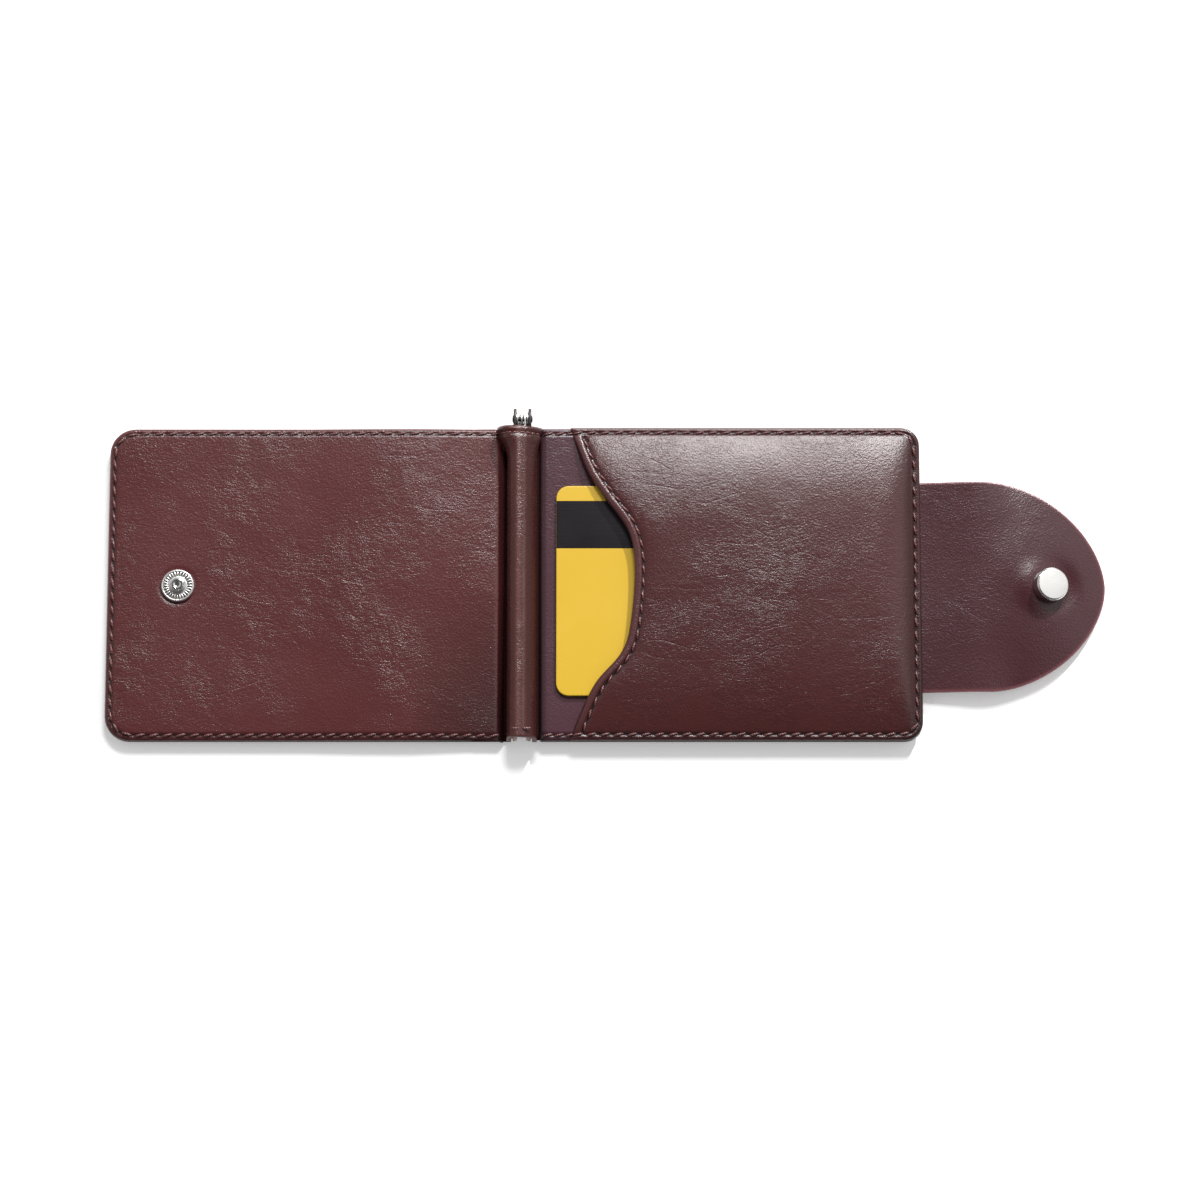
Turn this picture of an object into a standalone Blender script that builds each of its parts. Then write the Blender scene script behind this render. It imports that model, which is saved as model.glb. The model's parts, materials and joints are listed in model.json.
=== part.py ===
"""Money-clip wallet with a snap strap, lying open with its outer faces up.

Metres, +Z up. The origin is under the middle of the object's box. Pieces are drawn about the
spine's centre line (X across the fold, Y along it, Z up from the table), and the root empty then
moves them to the origin. Each moving body hangs from an empty on its joint's axis.
"""

import math

import bmesh
import bpy
from mathutils import Matrix, Vector

# Panels
PANEL_HEIGHT = 0.0805
COVER_LENGTH = 0.0998
BACK_LENGTH = 0.0958
COVER_CORNER = 0.0064
BACK_CORNER = 0.0046
FOLD_HALF = 0.0042
SEAM = 0.0003
FOLD_SWING = math.radians(91.2)

# Layers, from the inner face up
LAYER_GAP = 0.00025
SLOT_THICK = 0.0006
LINING_THICK = 0.0004
BOARD_THICK = 0.0006
LEATHER_THICK = 0.001
EDGE_ROUND = 0.0012
LINING_INSET = 0.0008
LIP_INSET = 0.0001
LIP_FOOT = 0.0005

# Inner card slots
SLOT_INSET = 0.0012
SLOT_SPINE_INSET = 0.0015
SLOT_CORNER = 0.003
SLOT_DROP = 0.0133
SLOT_STEP = 0.013

# Outer pocket, with its mouth's curve
POCKET_START = 0.0121
POCKET_BULGE = 0.0162
POCKET_ROOM = 0.0002
MOUTH_SHARES = (
    (0.0, 0.0),
    (0.08, 0.15),
    (0.18, 0.40),
    (0.27, 0.78),
    (0.36, 0.93),
    (0.54, 1.0),
    (0.66, 0.90),
    (0.77, 0.53),
    (0.86, 0.26),
    (1.0, 0.0),
)

# Card
CARD_LENGTH = 0.0856
CARD_HEIGHT = 0.05398
CARD_THICK = 0.00076
CARD_CORNER = 0.00318
CARD_START = 0.0086
CARD_DROP = 0.002

# Spine: leather roll over a steel channel
ROLL_HALF = 0.0038
ROLL_TOP = 0.0087
ROLL_LEATHER = 0.0013
ROLL_INSET = 0.0002
ROLL_FOOT = 0.0005
ROLL_FOOT_THICK = 0.0008
CHANNEL_WALL = 0.0005
CHANNEL_FOOT = 0.0009
CHANNEL_INSET = 0.0004

# Hinge of the clip
PIN_BEYOND = 0.00225
PIN_HEIGHT = 0.0046
PIN_RADIUS = 0.0006
PIN_PLAY = 0.0002
PIN_HEAD_RADIUS = 0.001
PIN_HEAD_THICK = 0.0005
EAR_THICK = 0.0004
EAR_REACH = 0.0027
EAR_BASE = 0.0014
EAR_ROUND = 0.0024
EYE_HALF = 0.0018
EYE_ROUND = 0.0016
SPRING_SLOT_HALF = 0.0011
SPRING_SLOT_DEPTH = 0.00175
SPRING_WIRE = 0.0002
SPRING_RADIUS = 0.0012
SPRING_PITCH = 0.0009
SPRING_TURNS = 1.5
SPRING_LEG = 0.0065

# Clip arm
ARM_HALF = 0.00145
ARM_THICK = 0.0016
ARM_FOOT = 0.0014
ARM_TIP_INSET = 0.00425
ARM_TIP_ROUND = 0.0005
ARM_HEEL_ROUND = 0.0022
ARM_NECK_ROUND = 0.0006
ARM_GROOVE_HALF = 0.0006
ARM_GROOVE_DEPTH = 0.0004
ARM_GROOVE_END = 0.006

# Strap
STRAP_HALF = 0.027
STRAP_THICK = 0.0014
STRAP_ANCHOR = 0.016
STRAP_OUT = 0.0005
STRAP_CENTRE_Y = -0.0007
STRAP_FOOT = 0.0017
BEND_HEIGHT = 0.0031
TONGUE_LENGTH = 0.034
TONGUE_STRAIGHT = 0.0043
TIP_CLEARANCE = 0.0001
EDGE_CLEARANCE = 0.0014
FACE_CLEARANCE = 0.0005
BRIDGE_SETBACK = 0.0006
EDGE_DROOP = 0.0015
EDGE_DROOP_RUN = 0.013
TIP_POWER = 1.8
DROOP_POWER = 1.8

# Snap
STUD_INSET = 0.0178
STUD_RADIUS = 0.00415
STUD_BASE = 0.0003
STUD_RIM = 0.00055
KNOB_RADIUS = 0.00165
KNOB_NECK = 0.0013
KNOB_TOP = 0.002
POST_RADIUS = 0.0009
POST_DISC_RADIUS = 0.004
POST_TOP = 0.0012
RIB_COUNT = 28
RIB_WIDTH = 0.00028
RIB_HEIGHT = 0.00018
KNOB_SHARES = ((0.0, 1.0), (0.75, 1.0), (0.97, 0.88), (1.0, 0.74))
NECK_SHARES = ((1.0, 0.58), (1.0, 0.3), (1.3, 0.18))
DISH_SHARES = ((0.6, 1.0), (0.82, 1.0))
RIM_SHARES = ((0.88, 1.0), (0.96, 1.0), (1.0, 0.6))
RIB_SHARES = (0.58, 0.86)
CAP_RADIUS = 0.00435
CAP_HEIGHT = 0.003
CAP_WALL = 0.0005
CAP_ROUND = 0.00035
CAP_ROUND_SHARE = 0.3
CAP_POST_RADIUS = 0.0011
SOCKET_RADIUS = 0.0038
SOCKET_HEIGHT = 0.0018
SOCKET_ROOF = 0.0005
SOCKET_MOUTH = 0.002
SOCKET_GROOVE = 0.0028
SOCKET_LIP = 0.0006
SOCKET_WIRE = 0.00017
SNAP_CREEP = 0.0003
SNAP_CLEARANCE = 0.00025
SNAP_LEAN = math.radians(9)
SNAP_GAPE = math.radians(9)
SOCKET_SPRING_SWEEP = math.radians(320)

# Mesh settings
OVERRUN = 0.004
WELD = 0.000001
ARC_STEPS = 6
ROUND_STEPS = 32
CURVE_STEPS = 4
BEVEL_ANGLE = math.radians(60)

# Heights worked out from the layers
slot_2_top = SLOT_THICK
slot_1_bottom = slot_2_top + LAYER_GAP
lining_bottom = slot_1_bottom + SLOT_THICK + LAYER_GAP
lining_top = lining_bottom + LINING_THICK
board_bottom = lining_top + LAYER_GAP
board_top = board_bottom + BOARD_THICK
skin_bottom = board_top + LAYER_GAP
panel_top = skin_bottom + LEATHER_THICK
card_bottom = panel_top + POCKET_ROOM
pocket_inside = card_bottom + CARD_THICK + POCKET_ROOM
pocket_top = pocket_inside + LEATHER_THICK

# Places worked out from the panels
panel_half = PANEL_HEIGHT / 2
panel_start = FOLD_HALF + SEAM
cover_reach = panel_start + COVER_LENGTH
back_reach = panel_start + BACK_LENGTH
arch_centre = ROLL_TOP - ROLL_HALF
channel_half = ROLL_HALF - ROLL_LEATHER - LAYER_GAP
roll_end = panel_half - ROLL_INSET
channel_end = roll_end - CHANNEL_INSET
pin_y = panel_half + PIN_BEYOND
ear_end = pin_y + EAR_REACH
stud_x = STUD_INSET - cover_reach

# The closed wallet: the cover's turned direction, and the strap's bend beside its outer edge
closed_along = (-math.cos(2 * FOLD_SWING), -math.sin(2 * FOLD_SWING))
closed_out = (-math.sin(2 * FOLD_SWING), math.cos(2 * FOLD_SWING))
closed_run = cover_reach - FOLD_HALF + EDGE_CLEARANCE
closed_rise = panel_top + FACE_CLEARANCE
closed_fold_x = FOLD_HALF - 2 * FOLD_HALF * math.cos(FOLD_SWING)
closed_fold_z = -2 * FOLD_HALF * math.sin(FOLD_SWING)
closed_bend_x = closed_fold_x + closed_run * closed_along[0] + closed_rise * closed_out[0]
closed_bend_z = closed_fold_z + closed_run * closed_along[1] + closed_rise * closed_out[1]

# Strap places, worked out from the closed wallet that it wraps
strap_fold_x = back_reach + STRAP_OUT
bridge_length = math.hypot(closed_bend_x - strap_fold_x, STRAP_FOOT - closed_bend_z)
bridge_rise = math.asin((BEND_HEIGHT - STRAP_FOOT) / bridge_length)
bend_x = strap_fold_x + bridge_length * math.cos(bridge_rise)
strap_reach = bend_x + TONGUE_LENGTH
tongue_taper = TONGUE_LENGTH - TONGUE_STRAIGHT
tongue_droop = BEND_HEIGHT - TIP_CLEARANCE + TONGUE_LENGTH * math.tan(bridge_rise)
snap_run = (STUD_INSET + EDGE_CLEARANCE + SNAP_CREEP) / math.cos(SNAP_GAPE)

# Planes that an outline is drawn in, as (first axis, second axis, direction of its thickness)
FLAT = Matrix.Identity(4)
ALONG_Y = Matrix.Rotation(math.pi / 2, 4, "X")
ALONG_X = Matrix(((0, 0, 1, 0), (1, 0, 0, 0), (0, 1, 0, 0), (0, 0, 0, 1)))

BROWN = ((0.105, 0.042, 0.040), 0.42, 0.0)
LINING_BROWN = ((0.070, 0.030, 0.028), 0.6, 0.0)
BOARD_GREY = ((0.30, 0.27, 0.23), 0.9, 0.0)
NICKEL = ((0.72, 0.71, 0.69), 0.18, 1.0)
STEEL = ((0.60, 0.60, 0.60), 0.3, 1.0)
CARD_YELLOW = ((0.85, 0.48, 0.03), 0.35, 0.0)


def clear_scene():
    for obj in list(bpy.data.objects):
        bpy.data.objects.remove(obj, do_unlink=True)


def new_collection(name, helper=False):
    collection = bpy.data.collections.new(name)
    collection.hide_render = helper
    bpy.context.scene.collection.children.link(collection)
    return collection


def add_object(name, mesh, collection, place=FLAT):
    obj = bpy.data.objects.new(name, mesh)
    obj.matrix_world = place
    collection.objects.link(obj)
    return obj


def finish(obj, look):
    """Gives the piece its own material."""
    colour, roughness, metallic = look
    material = bpy.data.materials.new(obj.name)
    material.use_nodes = True
    shader = material.node_tree.nodes["Principled BSDF"]
    shader.inputs["Base Color"].default_value = (*colour, 1.0)
    shader.inputs["Roughness"].default_value = roughness
    shader.inputs["Metallic"].default_value = metallic
    obj.data.materials.clear()
    obj.data.materials.append(material)
    return obj


def as_cutter(obj):
    """Moves a helper to the cutters, where it stays out of the render."""
    for collection in list(obj.users_collection):
        collection.objects.unlink(obj)
    cutters.objects.link(obj)
    obj.hide_render = True
    obj.display_type = "WIRE"
    return obj


def combine(obj, other, operation):
    boolean = obj.modifiers.new(operation.title() + " " + other.name, "BOOLEAN")
    boolean.operation = operation
    boolean.solver = "EXACT"
    boolean.object = as_cutter(other)


def rounded(corners):
    """Points of a closed outline, drawn anticlockwise from corners of (x, y, radius)."""
    points = []
    for index, (x, y, radius) in enumerate(corners):
        if radius == 0:
            points.append((x, y))
            continue
        corner = Vector((x, y))
        before = (Vector(corners[index - 1][:2]) - corner).normalized()
        after = (Vector(corners[(index + 1) % len(corners)][:2]) - corner).normalized()
        half = before.angle(after) / 2
        centre = corner + (before + after).normalized() * radius / math.sin(half)
        start = corner + before * radius / math.tan(half) - centre
        side = 1 if before.y * after.x - before.x * after.y > 0 else -1
        for step in range(ARC_STEPS + 1):
            angle = side * (math.pi - 2 * half) * step / ARC_STEPS
            spot = centre + Matrix.Rotation(angle, 2) @ start
            points.append((spot.x, spot.y))
    return points


def rectangle(left, right, bottom, top, left_radius=0.0, right_radius=0.0):
    return rounded(
        (
            (left, bottom, left_radius),
            (right, bottom, right_radius),
            (right, top, right_radius),
            (left, top, left_radius),
        )
    )


def meshed(guide):
    """The mesh of a curve object, with its caps welded. The curve is removed."""
    bpy.context.view_layer.update()
    graph = bpy.context.evaluated_depsgraph_get()
    mesh = bpy.data.meshes.new_from_object(guide.evaluated_get(graph))
    shape = bmesh.new()
    shape.from_mesh(mesh)
    bmesh.ops.remove_doubles(shape, verts=shape.verts, dist=WELD)
    bmesh.ops.recalc_face_normals(shape, faces=shape.faces)
    shape.to_mesh(mesh)
    shape.free()
    name, place = guide.name, guide.matrix_world.copy()
    bpy.data.objects.remove(guide, do_unlink=True)
    return add_object(name, mesh, pieces, place)


def plate(name, points, bottom, thickness, plane=FLAT):
    """A flat outline of one thickness, which starts at bottom along the plane's normal."""
    curve = bpy.data.curves.new(name, "CURVE")
    curve.dimensions = "2D"
    curve.fill_mode = "BOTH"
    curve.extrude = thickness / 2
    spline = curve.splines.new("POLY")
    spline.points.add(len(points) - 1)
    for spot, (x, y) in zip(spline.points, points):
        spot.co = (x, y, 0.0, 1.0)
    spline.use_cyclic_u = True
    middle = Matrix.Translation((0.0, 0.0, bottom + thickness / 2))
    return meshed(add_object(name, curve, pieces, plane @ middle))


def tube(name, points, radius, place=FLAT):
    curve = bpy.data.curves.new(name, "CURVE")
    curve.dimensions = "3D"
    curve.bevel_depth = radius
    curve.bevel_resolution = 1
    curve.use_fill_caps = True
    spline = curve.splines.new("POLY")
    spline.points.add(len(points) - 1)
    for spot, point in zip(spline.points, points):
        spot.co = (*point, 1.0)
    obj = meshed(add_object(name, curve, pieces, place))
    obj.data.shade_smooth()
    return obj


def turned(name, profile, place=FLAT, ring=False):
    """A profile of (radius, height), top to bottom down its outer side, turned about Z."""
    count = len(profile)
    edges = [(i, i + 1) for i in range(count - 1)]
    if ring:
        edges.append((count - 1, 0))
    mesh = bpy.data.meshes.new(name)
    mesh.from_pydata([(radius, 0.0, height) for radius, height in profile], edges, [])
    obj = add_object(name, mesh, pieces, place)
    screw = obj.modifiers.new("Screw", "SCREW")
    screw.steps = ROUND_STEPS
    screw.render_steps = ROUND_STEPS
    screw.use_merge_vertices = True
    screw.merge_threshold = WELD
    return obj


def block(name, low, high):
    """A box between two corners, for cutting."""
    size = [b - a for a, b in zip(low, high)]
    middle = [(a + b) / 2 for a, b in zip(low, high)]
    mesh = bpy.data.meshes.new(name)
    shape = bmesh.new()
    bmesh.ops.create_cube(shape, size=1)
    bmesh.ops.scale(shape, vec=size, verts=shape.verts)
    shape.to_mesh(mesh)
    shape.free()
    return add_object(name, mesh, pieces, Matrix.Translation(middle))


def drawn_skin(name, points, bottom, top, open_side=None):
    """Leather drawn over an edge: a top and its turned-down rim, open underneath.

    Side faces that open_side picks are left out.
    """
    obj = plate(name, points, bottom, top - bottom)
    shape = bmesh.new()
    shape.from_mesh(obj.data)
    shape.normal_update()
    gone = [
        face
        for face in shape.faces
        if face.normal.z < -math.cos(BEVEL_ANGLE)
        or (open_side and abs(face.normal.z) < math.cos(BEVEL_ANGLE) and open_side(face))
    ]
    bmesh.ops.delete(shape, geom=gone, context="FACES")
    rim = [
        edge
        for edge in shape.edges
        if len(edge.link_faces) == 2 and edge.calc_face_angle() > BEVEL_ANGLE
        and all(vert.co.z > 0 for vert in edge.verts)
    ]
    bmesh.ops.bevel(shape, geom=rim, offset=EDGE_ROUND, segments=3, profile=0.5, affect="EDGES")
    shape.to_mesh(obj.data)
    shape.free()
    solidify = obj.modifiers.new("Leather", "SOLIDIFY")
    solidify.thickness = LEATHER_THICK
    solidify.offset = -1
    solidify.use_even_offset = True
    return obj


def panel_rectangle(side, near, far, inset, corner):
    """Outline of a panel's layer, with rounded corners at its free end."""
    left, right = sorted((side * near, side * far))
    radii = (corner, 0.0) if side < 0 else (0.0, corner)
    return rectangle(left, right, inset - panel_half, panel_half - inset, *radii)


def outer_leather(name, side, reach, corner):
    """The panel's outer leather, with a lip down to the fold."""
    points = panel_rectangle(side, panel_start, reach, 0.0, corner)
    leather = drawn_skin(name, points, board_bottom, panel_top)
    near = panel_start + LIP_INSET
    far = panel_start + LEATHER_THICK - LIP_INSET
    lip = panel_rectangle(side, near, far, LINING_INSET, 0.0)
    lip_height = board_top - LIP_FOOT
    combine(leather, plate(name + "_lip", lip, LIP_FOOT, lip_height), "UNION")
    return leather


def inner_sheet(name, side, reach, corner, inset, bottom, thickness):
    """A lining or a board, a stated distance inside the panel's edges."""
    near = panel_start + LEATHER_THICK + LAYER_GAP
    points = panel_rectangle(side, near, reach - inset, inset, corner - inset)
    return plate(name, points, bottom, thickness)


def card_slot(name, side, far, step, bottom):
    """An inner card slot, which starts at the panel's lower edge and stops short of its top."""
    near = panel_start + LEATHER_THICK + SLOT_SPINE_INSET
    left, right = sorted((side * near, side * far))
    low = SLOT_INSET - panel_half
    high = panel_half - SLOT_DROP - step * SLOT_STEP
    points = rectangle(left, right, low, high, SLOT_CORNER, SLOT_CORNER)
    return plate(name, points, bottom, SLOT_THICK)


def smooth_curve(knots):
    """Points of a curve through the knots (Catmull and Rom's spline)."""
    padded = [knots[0]] + list(knots) + [knots[-1]]
    points = []
    for a, b, c, d in zip(padded, padded[1:], padded[2:], padded[3:]):
        for step in range(CURVE_STEPS):
            t = step / CURVE_STEPS
            points.append(
                tuple(
                    (2 * q + (r - p) * t + (2 * p - 5 * q + 4 * r - s) * t * t
                     + (3 * q - p - 3 * r + s) * t * t * t) / 2
                    for p, q, r, s in zip(a, b, c, d)
                )
            )
    points.append(knots[-1])
    return points


def mouth_points():
    """The pocket's S-shaped mouth, from its lower end to its upper."""
    knots = [
        (POCKET_START + bulge * POCKET_BULGE, height * PANEL_HEIGHT - panel_half)
        for height, bulge in MOUTH_SHARES
    ]
    return smooth_curve(knots)


def model_back_panel():
    leather = outer_leather("back_outer_leather", 1, back_reach, BACK_CORNER)
    inset = LEATHER_THICK + LAYER_GAP
    board_reach = back_reach - STRAP_ANCHOR + inset - LAYER_GAP
    board = inner_sheet("back_board", 1, board_reach, BACK_CORNER, inset, board_bottom, BOARD_THICK)
    lining = inner_sheet(
        "back_lining", 1, back_reach, BACK_CORNER, LINING_INSET, lining_bottom, LINING_THICK
    )
    combine(leather, strap_gate(), "DIFFERENCE")
    slot_end = back_reach - SLOT_INSET
    slot_1 = card_slot("back_card_slot_1", 1, slot_end, 0, slot_1_bottom)
    slot_2 = card_slot("back_card_slot_2", 1, slot_end, 1, 0.0)
    pocket = model_pocket()
    anchor = model_anchor()
    for obj in (leather, slot_1, slot_2, pocket, anchor):
        finish(obj, BROWN)
    finish(board, BOARD_GREY)
    finish(lining, LINING_BROWN)
    return [leather, board, lining, slot_1, slot_2, pocket, anchor]


def model_pocket():
    """The outer pocket: its rim is sewn to the panel on three sides, and its mouth is open."""
    far = rounded(
        (
            (POCKET_START, -panel_half, 0.0),
            (back_reach, -panel_half, BACK_CORNER),
            (back_reach, panel_half, BACK_CORNER),
            (POCKET_START, panel_half, 0.0),
        )
    )
    mouth = mouth_points()
    points = far[1:-1] + mouth[::-1]
    reach = POCKET_START + POCKET_BULGE

    def is_mouth(face):
        return face.normal.x < -WELD and face.calc_center_median().x < reach

    bottom = panel_top + LAYER_GAP
    return drawn_skin("pocket_front", points, bottom, pocket_top, open_side=is_mouth)


def strap_gate():
    """A cutter for the gap in the panel's rim that the strap comes out of."""
    low, high = strap_sides()
    corner = (back_reach - LEATHER_THICK - LAYER_GAP, low - LAYER_GAP, -OVERRUN)
    return block("strap_gate", corner, (back_reach + OVERRUN, high + LAYER_GAP, skin_bottom))


def strap_sides():
    return STRAP_CENTRE_Y - STRAP_HALF, STRAP_CENTRE_Y + STRAP_HALF


def model_anchor():
    """The strap's skived root, sewn in the panel's seam beside the board."""
    points = rectangle(back_reach - STRAP_ANCHOR, strap_fold_x - SEAM / 2, *strap_sides())
    return plate("strap_anchor", points, board_bottom, BOARD_THICK)


def model_card():
    low = -CARD_DROP - CARD_HEIGHT / 2
    points = rectangle(
        CARD_START, CARD_START + CARD_LENGTH, low, low + CARD_HEIGHT, CARD_CORNER, CARD_CORNER
    )
    return finish(plate("card", points, card_bottom, CARD_THICK), CARD_YELLOW)


def arch(half, foot):
    """Points of an arch over the spine's centre line, from its left foot to its right."""
    points = [(-half, foot)]
    for step in range(2 * ARC_STEPS + 1):
        angle = math.pi * (1 - step / (2 * ARC_STEPS))
        points.append((half * math.cos(angle), arch_centre + half * math.sin(angle)))
    points.append((half, foot))
    return points


def model_spine_leather():
    """The roll: leather over the channel, whose feet run out to the folds."""
    foot_top = ROLL_FOOT + ROLL_FOOT_THICK
    left = [(-FOLD_HALF, ROLL_FOOT), (-FOLD_HALF, foot_top)]
    right = [(FOLD_HALF, foot_top), (FOLD_HALF, ROLL_FOOT)]
    outer = arch(ROLL_HALF, foot_top + ROLL_FOOT_THICK)
    inner = arch(ROLL_HALF - ROLL_LEATHER, ROLL_FOOT)
    points = (left + outer + right + inner[::-1])[::-1]
    leather = plate("spine_leather", points, -roll_end, 2 * roll_end, ALONG_Y)
    return finish(leather, BROWN)


def ear_points():
    """Outline of a hinge ear, in the plane of the channel's side wall."""
    root, shoulder = channel_end - EAR_BASE, roll_end + SEAM
    low, high = PIN_HEIGHT - EAR_REACH - SEAM, PIN_HEIGHT + EAR_REACH
    return rounded(
        (
            (root, low, 0.0),
            (ear_end, low, EAR_ROUND),
            (ear_end, high, EAR_ROUND),
            (shoulder, high, PIN_HEAD_RADIUS),
            (shoulder, arch_centre, 0.0),
            (root, arch_centre, 0.0),
        )
    )


def cross_bore(name, radius):
    """A cutter along the pin's axis."""
    profile = ((0.0, OVERRUN), (radius, OVERRUN), (radius, -OVERRUN), (0.0, -OVERRUN))
    return turned(name, profile, pin_place())


def pin_place():
    spot = Matrix.Translation((0.0, pin_y, PIN_HEIGHT))
    return spot @ Matrix.Rotation(math.pi / 2, 4, "Y")


def model_channel():
    """The pressed channel, open underneath, with an ear each side of the arm's eye."""
    outer = arch(channel_half, CHANNEL_FOOT)
    inner = arch(channel_half - CHANNEL_WALL, CHANNEL_FOOT)
    points = (outer + inner[::-1])[::-1]
    channel = plate("clip_channel", points, -channel_end, 2 * channel_end, ALONG_Y)
    wall_middle = channel_half - CHANNEL_WALL / 2
    for side, name in ((-1, "ear_left"), (1, "ear_right")):
        start = side * wall_middle - EAR_THICK / 2
        combine(channel, plate(name, ear_points(), start, EAR_THICK, ALONG_X), "UNION")
    combine(channel, cross_bore("ear_bore", PIN_RADIUS + PIN_PLAY), "DIFFERENCE")
    return finish(channel, STEEL)


def model_pin():
    inside = channel_half + LAYER_GAP
    outside = inside + PIN_HEAD_THICK
    profile = (
        (0.0, outside),
        (PIN_HEAD_RADIUS, outside),
        (PIN_HEAD_RADIUS, inside),
        (PIN_RADIUS, inside),
        (PIN_RADIUS, -inside),
        (PIN_HEAD_RADIUS, -inside),
        (PIN_HEAD_RADIUS, -outside),
        (0.0, -outside),
    )
    return finish(turned("hinge_pin", profile, pin_place()), NICKEL)


def model_hinge_spring():
    """A torsion spring round the pin: one leg under the roof, the other on the arm."""
    count = int(SPRING_TURNS * ROUND_STEPS)
    half = SPRING_TURNS * SPRING_PITCH / 2
    coil = []
    for step in range(count + 1):
        share = step / count
        angle = -math.pi / 2 + share * SPRING_TURNS * 2 * math.pi
        y = SPRING_RADIUS * math.cos(angle)
        z = SPRING_RADIUS * math.sin(angle)
        coil.append((half * (2 * share - 1), pin_y + y, PIN_HEIGHT + z))
    lower = (coil[0][0], coil[0][1] - SPRING_LEG, coil[0][2])
    upper = (coil[-1][0], coil[-1][1] - SPRING_LEG, coil[-1][2])
    print(f"hinge_spring: least gap between its turns {1000 * (SPRING_PITCH - 2 * SPRING_WIRE):.2f} mm")
    return finish(tube("hinge_spring", [lower] + coil + [upper], SPRING_WIRE), STEEL)


def model_arm():
    """The clip's bar, seen from the side: a long blade with a raised eye at the pin."""
    tip = ARM_TIP_INSET - panel_half
    top = ARM_FOOT + ARM_THICK
    near, far = pin_y - EYE_HALF, pin_y + EYE_HALF
    crown = PIN_HEIGHT + EYE_HALF
    points = rounded(
        (
            (tip, ARM_FOOT, ARM_TIP_ROUND),
            (far, ARM_FOOT, ARM_HEEL_ROUND),
            (far, crown, EYE_ROUND),
            (near, crown, EYE_ROUND),
            (near, top, ARM_NECK_ROUND),
            (tip, top, ARM_TIP_ROUND),
        )
    )
    arm = plate("clip_arm", points, -ARM_HALF, 2 * ARM_HALF, ALONG_X)
    slot_low = (-SPRING_SLOT_HALF, near - OVERRUN / 2, PIN_HEIGHT - SPRING_SLOT_DEPTH)
    slot_high = (SPRING_SLOT_HALF, far + OVERRUN, crown + OVERRUN)
    combine(arm, block("spring_slot", slot_low, slot_high), "DIFFERENCE")
    combine(arm, cross_bore("eye_bore", PIN_RADIUS + PIN_PLAY), "DIFFERENCE")
    groove_low = (-ARM_GROOVE_HALF, tip + ARM_GROOVE_END, ARM_FOOT - OVERRUN)
    groove_high = (ARM_GROOVE_HALF, near - ARM_GROOVE_END, ARM_FOOT + ARM_GROOVE_DEPTH)
    combine(arm, block("arm_groove", groove_low, groove_high), "DIFFERENCE")
    return finish(arm, STEEL)


def upright(x, y, z=0.0):
    return Matrix.Translation((x, y, z))


def round_cutter(name, radius, bottom, top, place):
    return turned(name, ((0.0, top), (radius, top), (radius, bottom), (0.0, bottom)), place)


def model_cover():
    leather = outer_leather("cover_outer_leather", -1, cover_reach, COVER_CORNER)
    inset = LEATHER_THICK + LAYER_GAP
    board = inner_sheet("cover_board", -1, cover_reach, COVER_CORNER, inset, board_bottom, BOARD_THICK)
    lining = inner_sheet(
        "cover_lining", -1, cover_reach, COVER_CORNER, LINING_INSET, lining_bottom, LINING_THICK
    )
    slot_end = cover_reach - SLOT_INSET
    slot_1 = card_slot("cover_card_slot_1", -1, slot_end, 0, slot_1_bottom)
    slot_2 = card_slot("cover_card_slot_2", -1, slot_end, 1, 0.0)
    place = upright(stud_x, STRAP_CENTRE_Y)
    hole = POST_RADIUS + LAYER_GAP
    combine(leather, round_cutter("post_hole", hole, 0.0, ROLL_TOP, place), "DIFFERENCE")
    seat = POST_DISC_RADIUS + LAYER_GAP
    combine(board, round_cutter("disc_hole", seat, 0.0, ROLL_TOP, place), "DIFFERENCE")
    for obj in (leather, slot_1, slot_2):
        finish(obj, BROWN)
    finish(board, BOARD_GREY)
    finish(lining, LINING_BROWN)
    return [leather, board, lining, slot_1, slot_2, model_stud(), model_stud_post()]


def scaled(shares, radius, height):
    """Points of a profile from shares of a radius and of a height."""
    return tuple((across * radius, up * height) for across, up in shares)


def model_stud():
    """The stud: a knob in a dished flange with pressed radial ribs and a raised rim."""
    foot = POST_RADIUS + LAYER_GAP
    inside = POST_TOP + LAYER_GAP
    profile = (
        *scaled(KNOB_SHARES, KNOB_RADIUS, KNOB_TOP),
        *scaled(NECK_SHARES, KNOB_NECK, KNOB_TOP),
        *scaled(DISH_SHARES, STUD_RADIUS, STUD_BASE),
        *scaled(RIM_SHARES, STUD_RADIUS, STUD_RIM),
        (STUD_RADIUS, 0.0),
        (foot, 0.0),
        (foot, inside),
        (0.0, inside),
    )
    place = upright(stud_x, STRAP_CENTRE_Y, panel_top + LAYER_GAP)
    stud = turned("snap_stud", profile, place)
    combine(stud, model_ribs(place), "UNION")
    return finish(stud, NICKEL)


def model_ribs(place):
    """The flange's ribs, as one helper that is joined to the stud."""
    inner, outer = (STUD_RADIUS * share for share in RIB_SHARES)
    shape = bmesh.new()
    for index in range(RIB_COUNT):
        size = Matrix.Diagonal((outer - inner, RIB_WIDTH, 2 * RIB_HEIGHT, 1.0))
        out = Matrix.Translation(((outer + inner) / 2, 0.0, STUD_BASE))
        turn = Matrix.Rotation(2 * math.pi * index / RIB_COUNT, 4, "Z")
        bmesh.ops.create_cube(shape, size=1, matrix=turn @ out @ size)
    mesh = bpy.data.meshes.new("stud_ribs")
    shape.to_mesh(mesh)
    shape.free()
    return add_object("stud_ribs", mesh, pieces, place)


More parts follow.
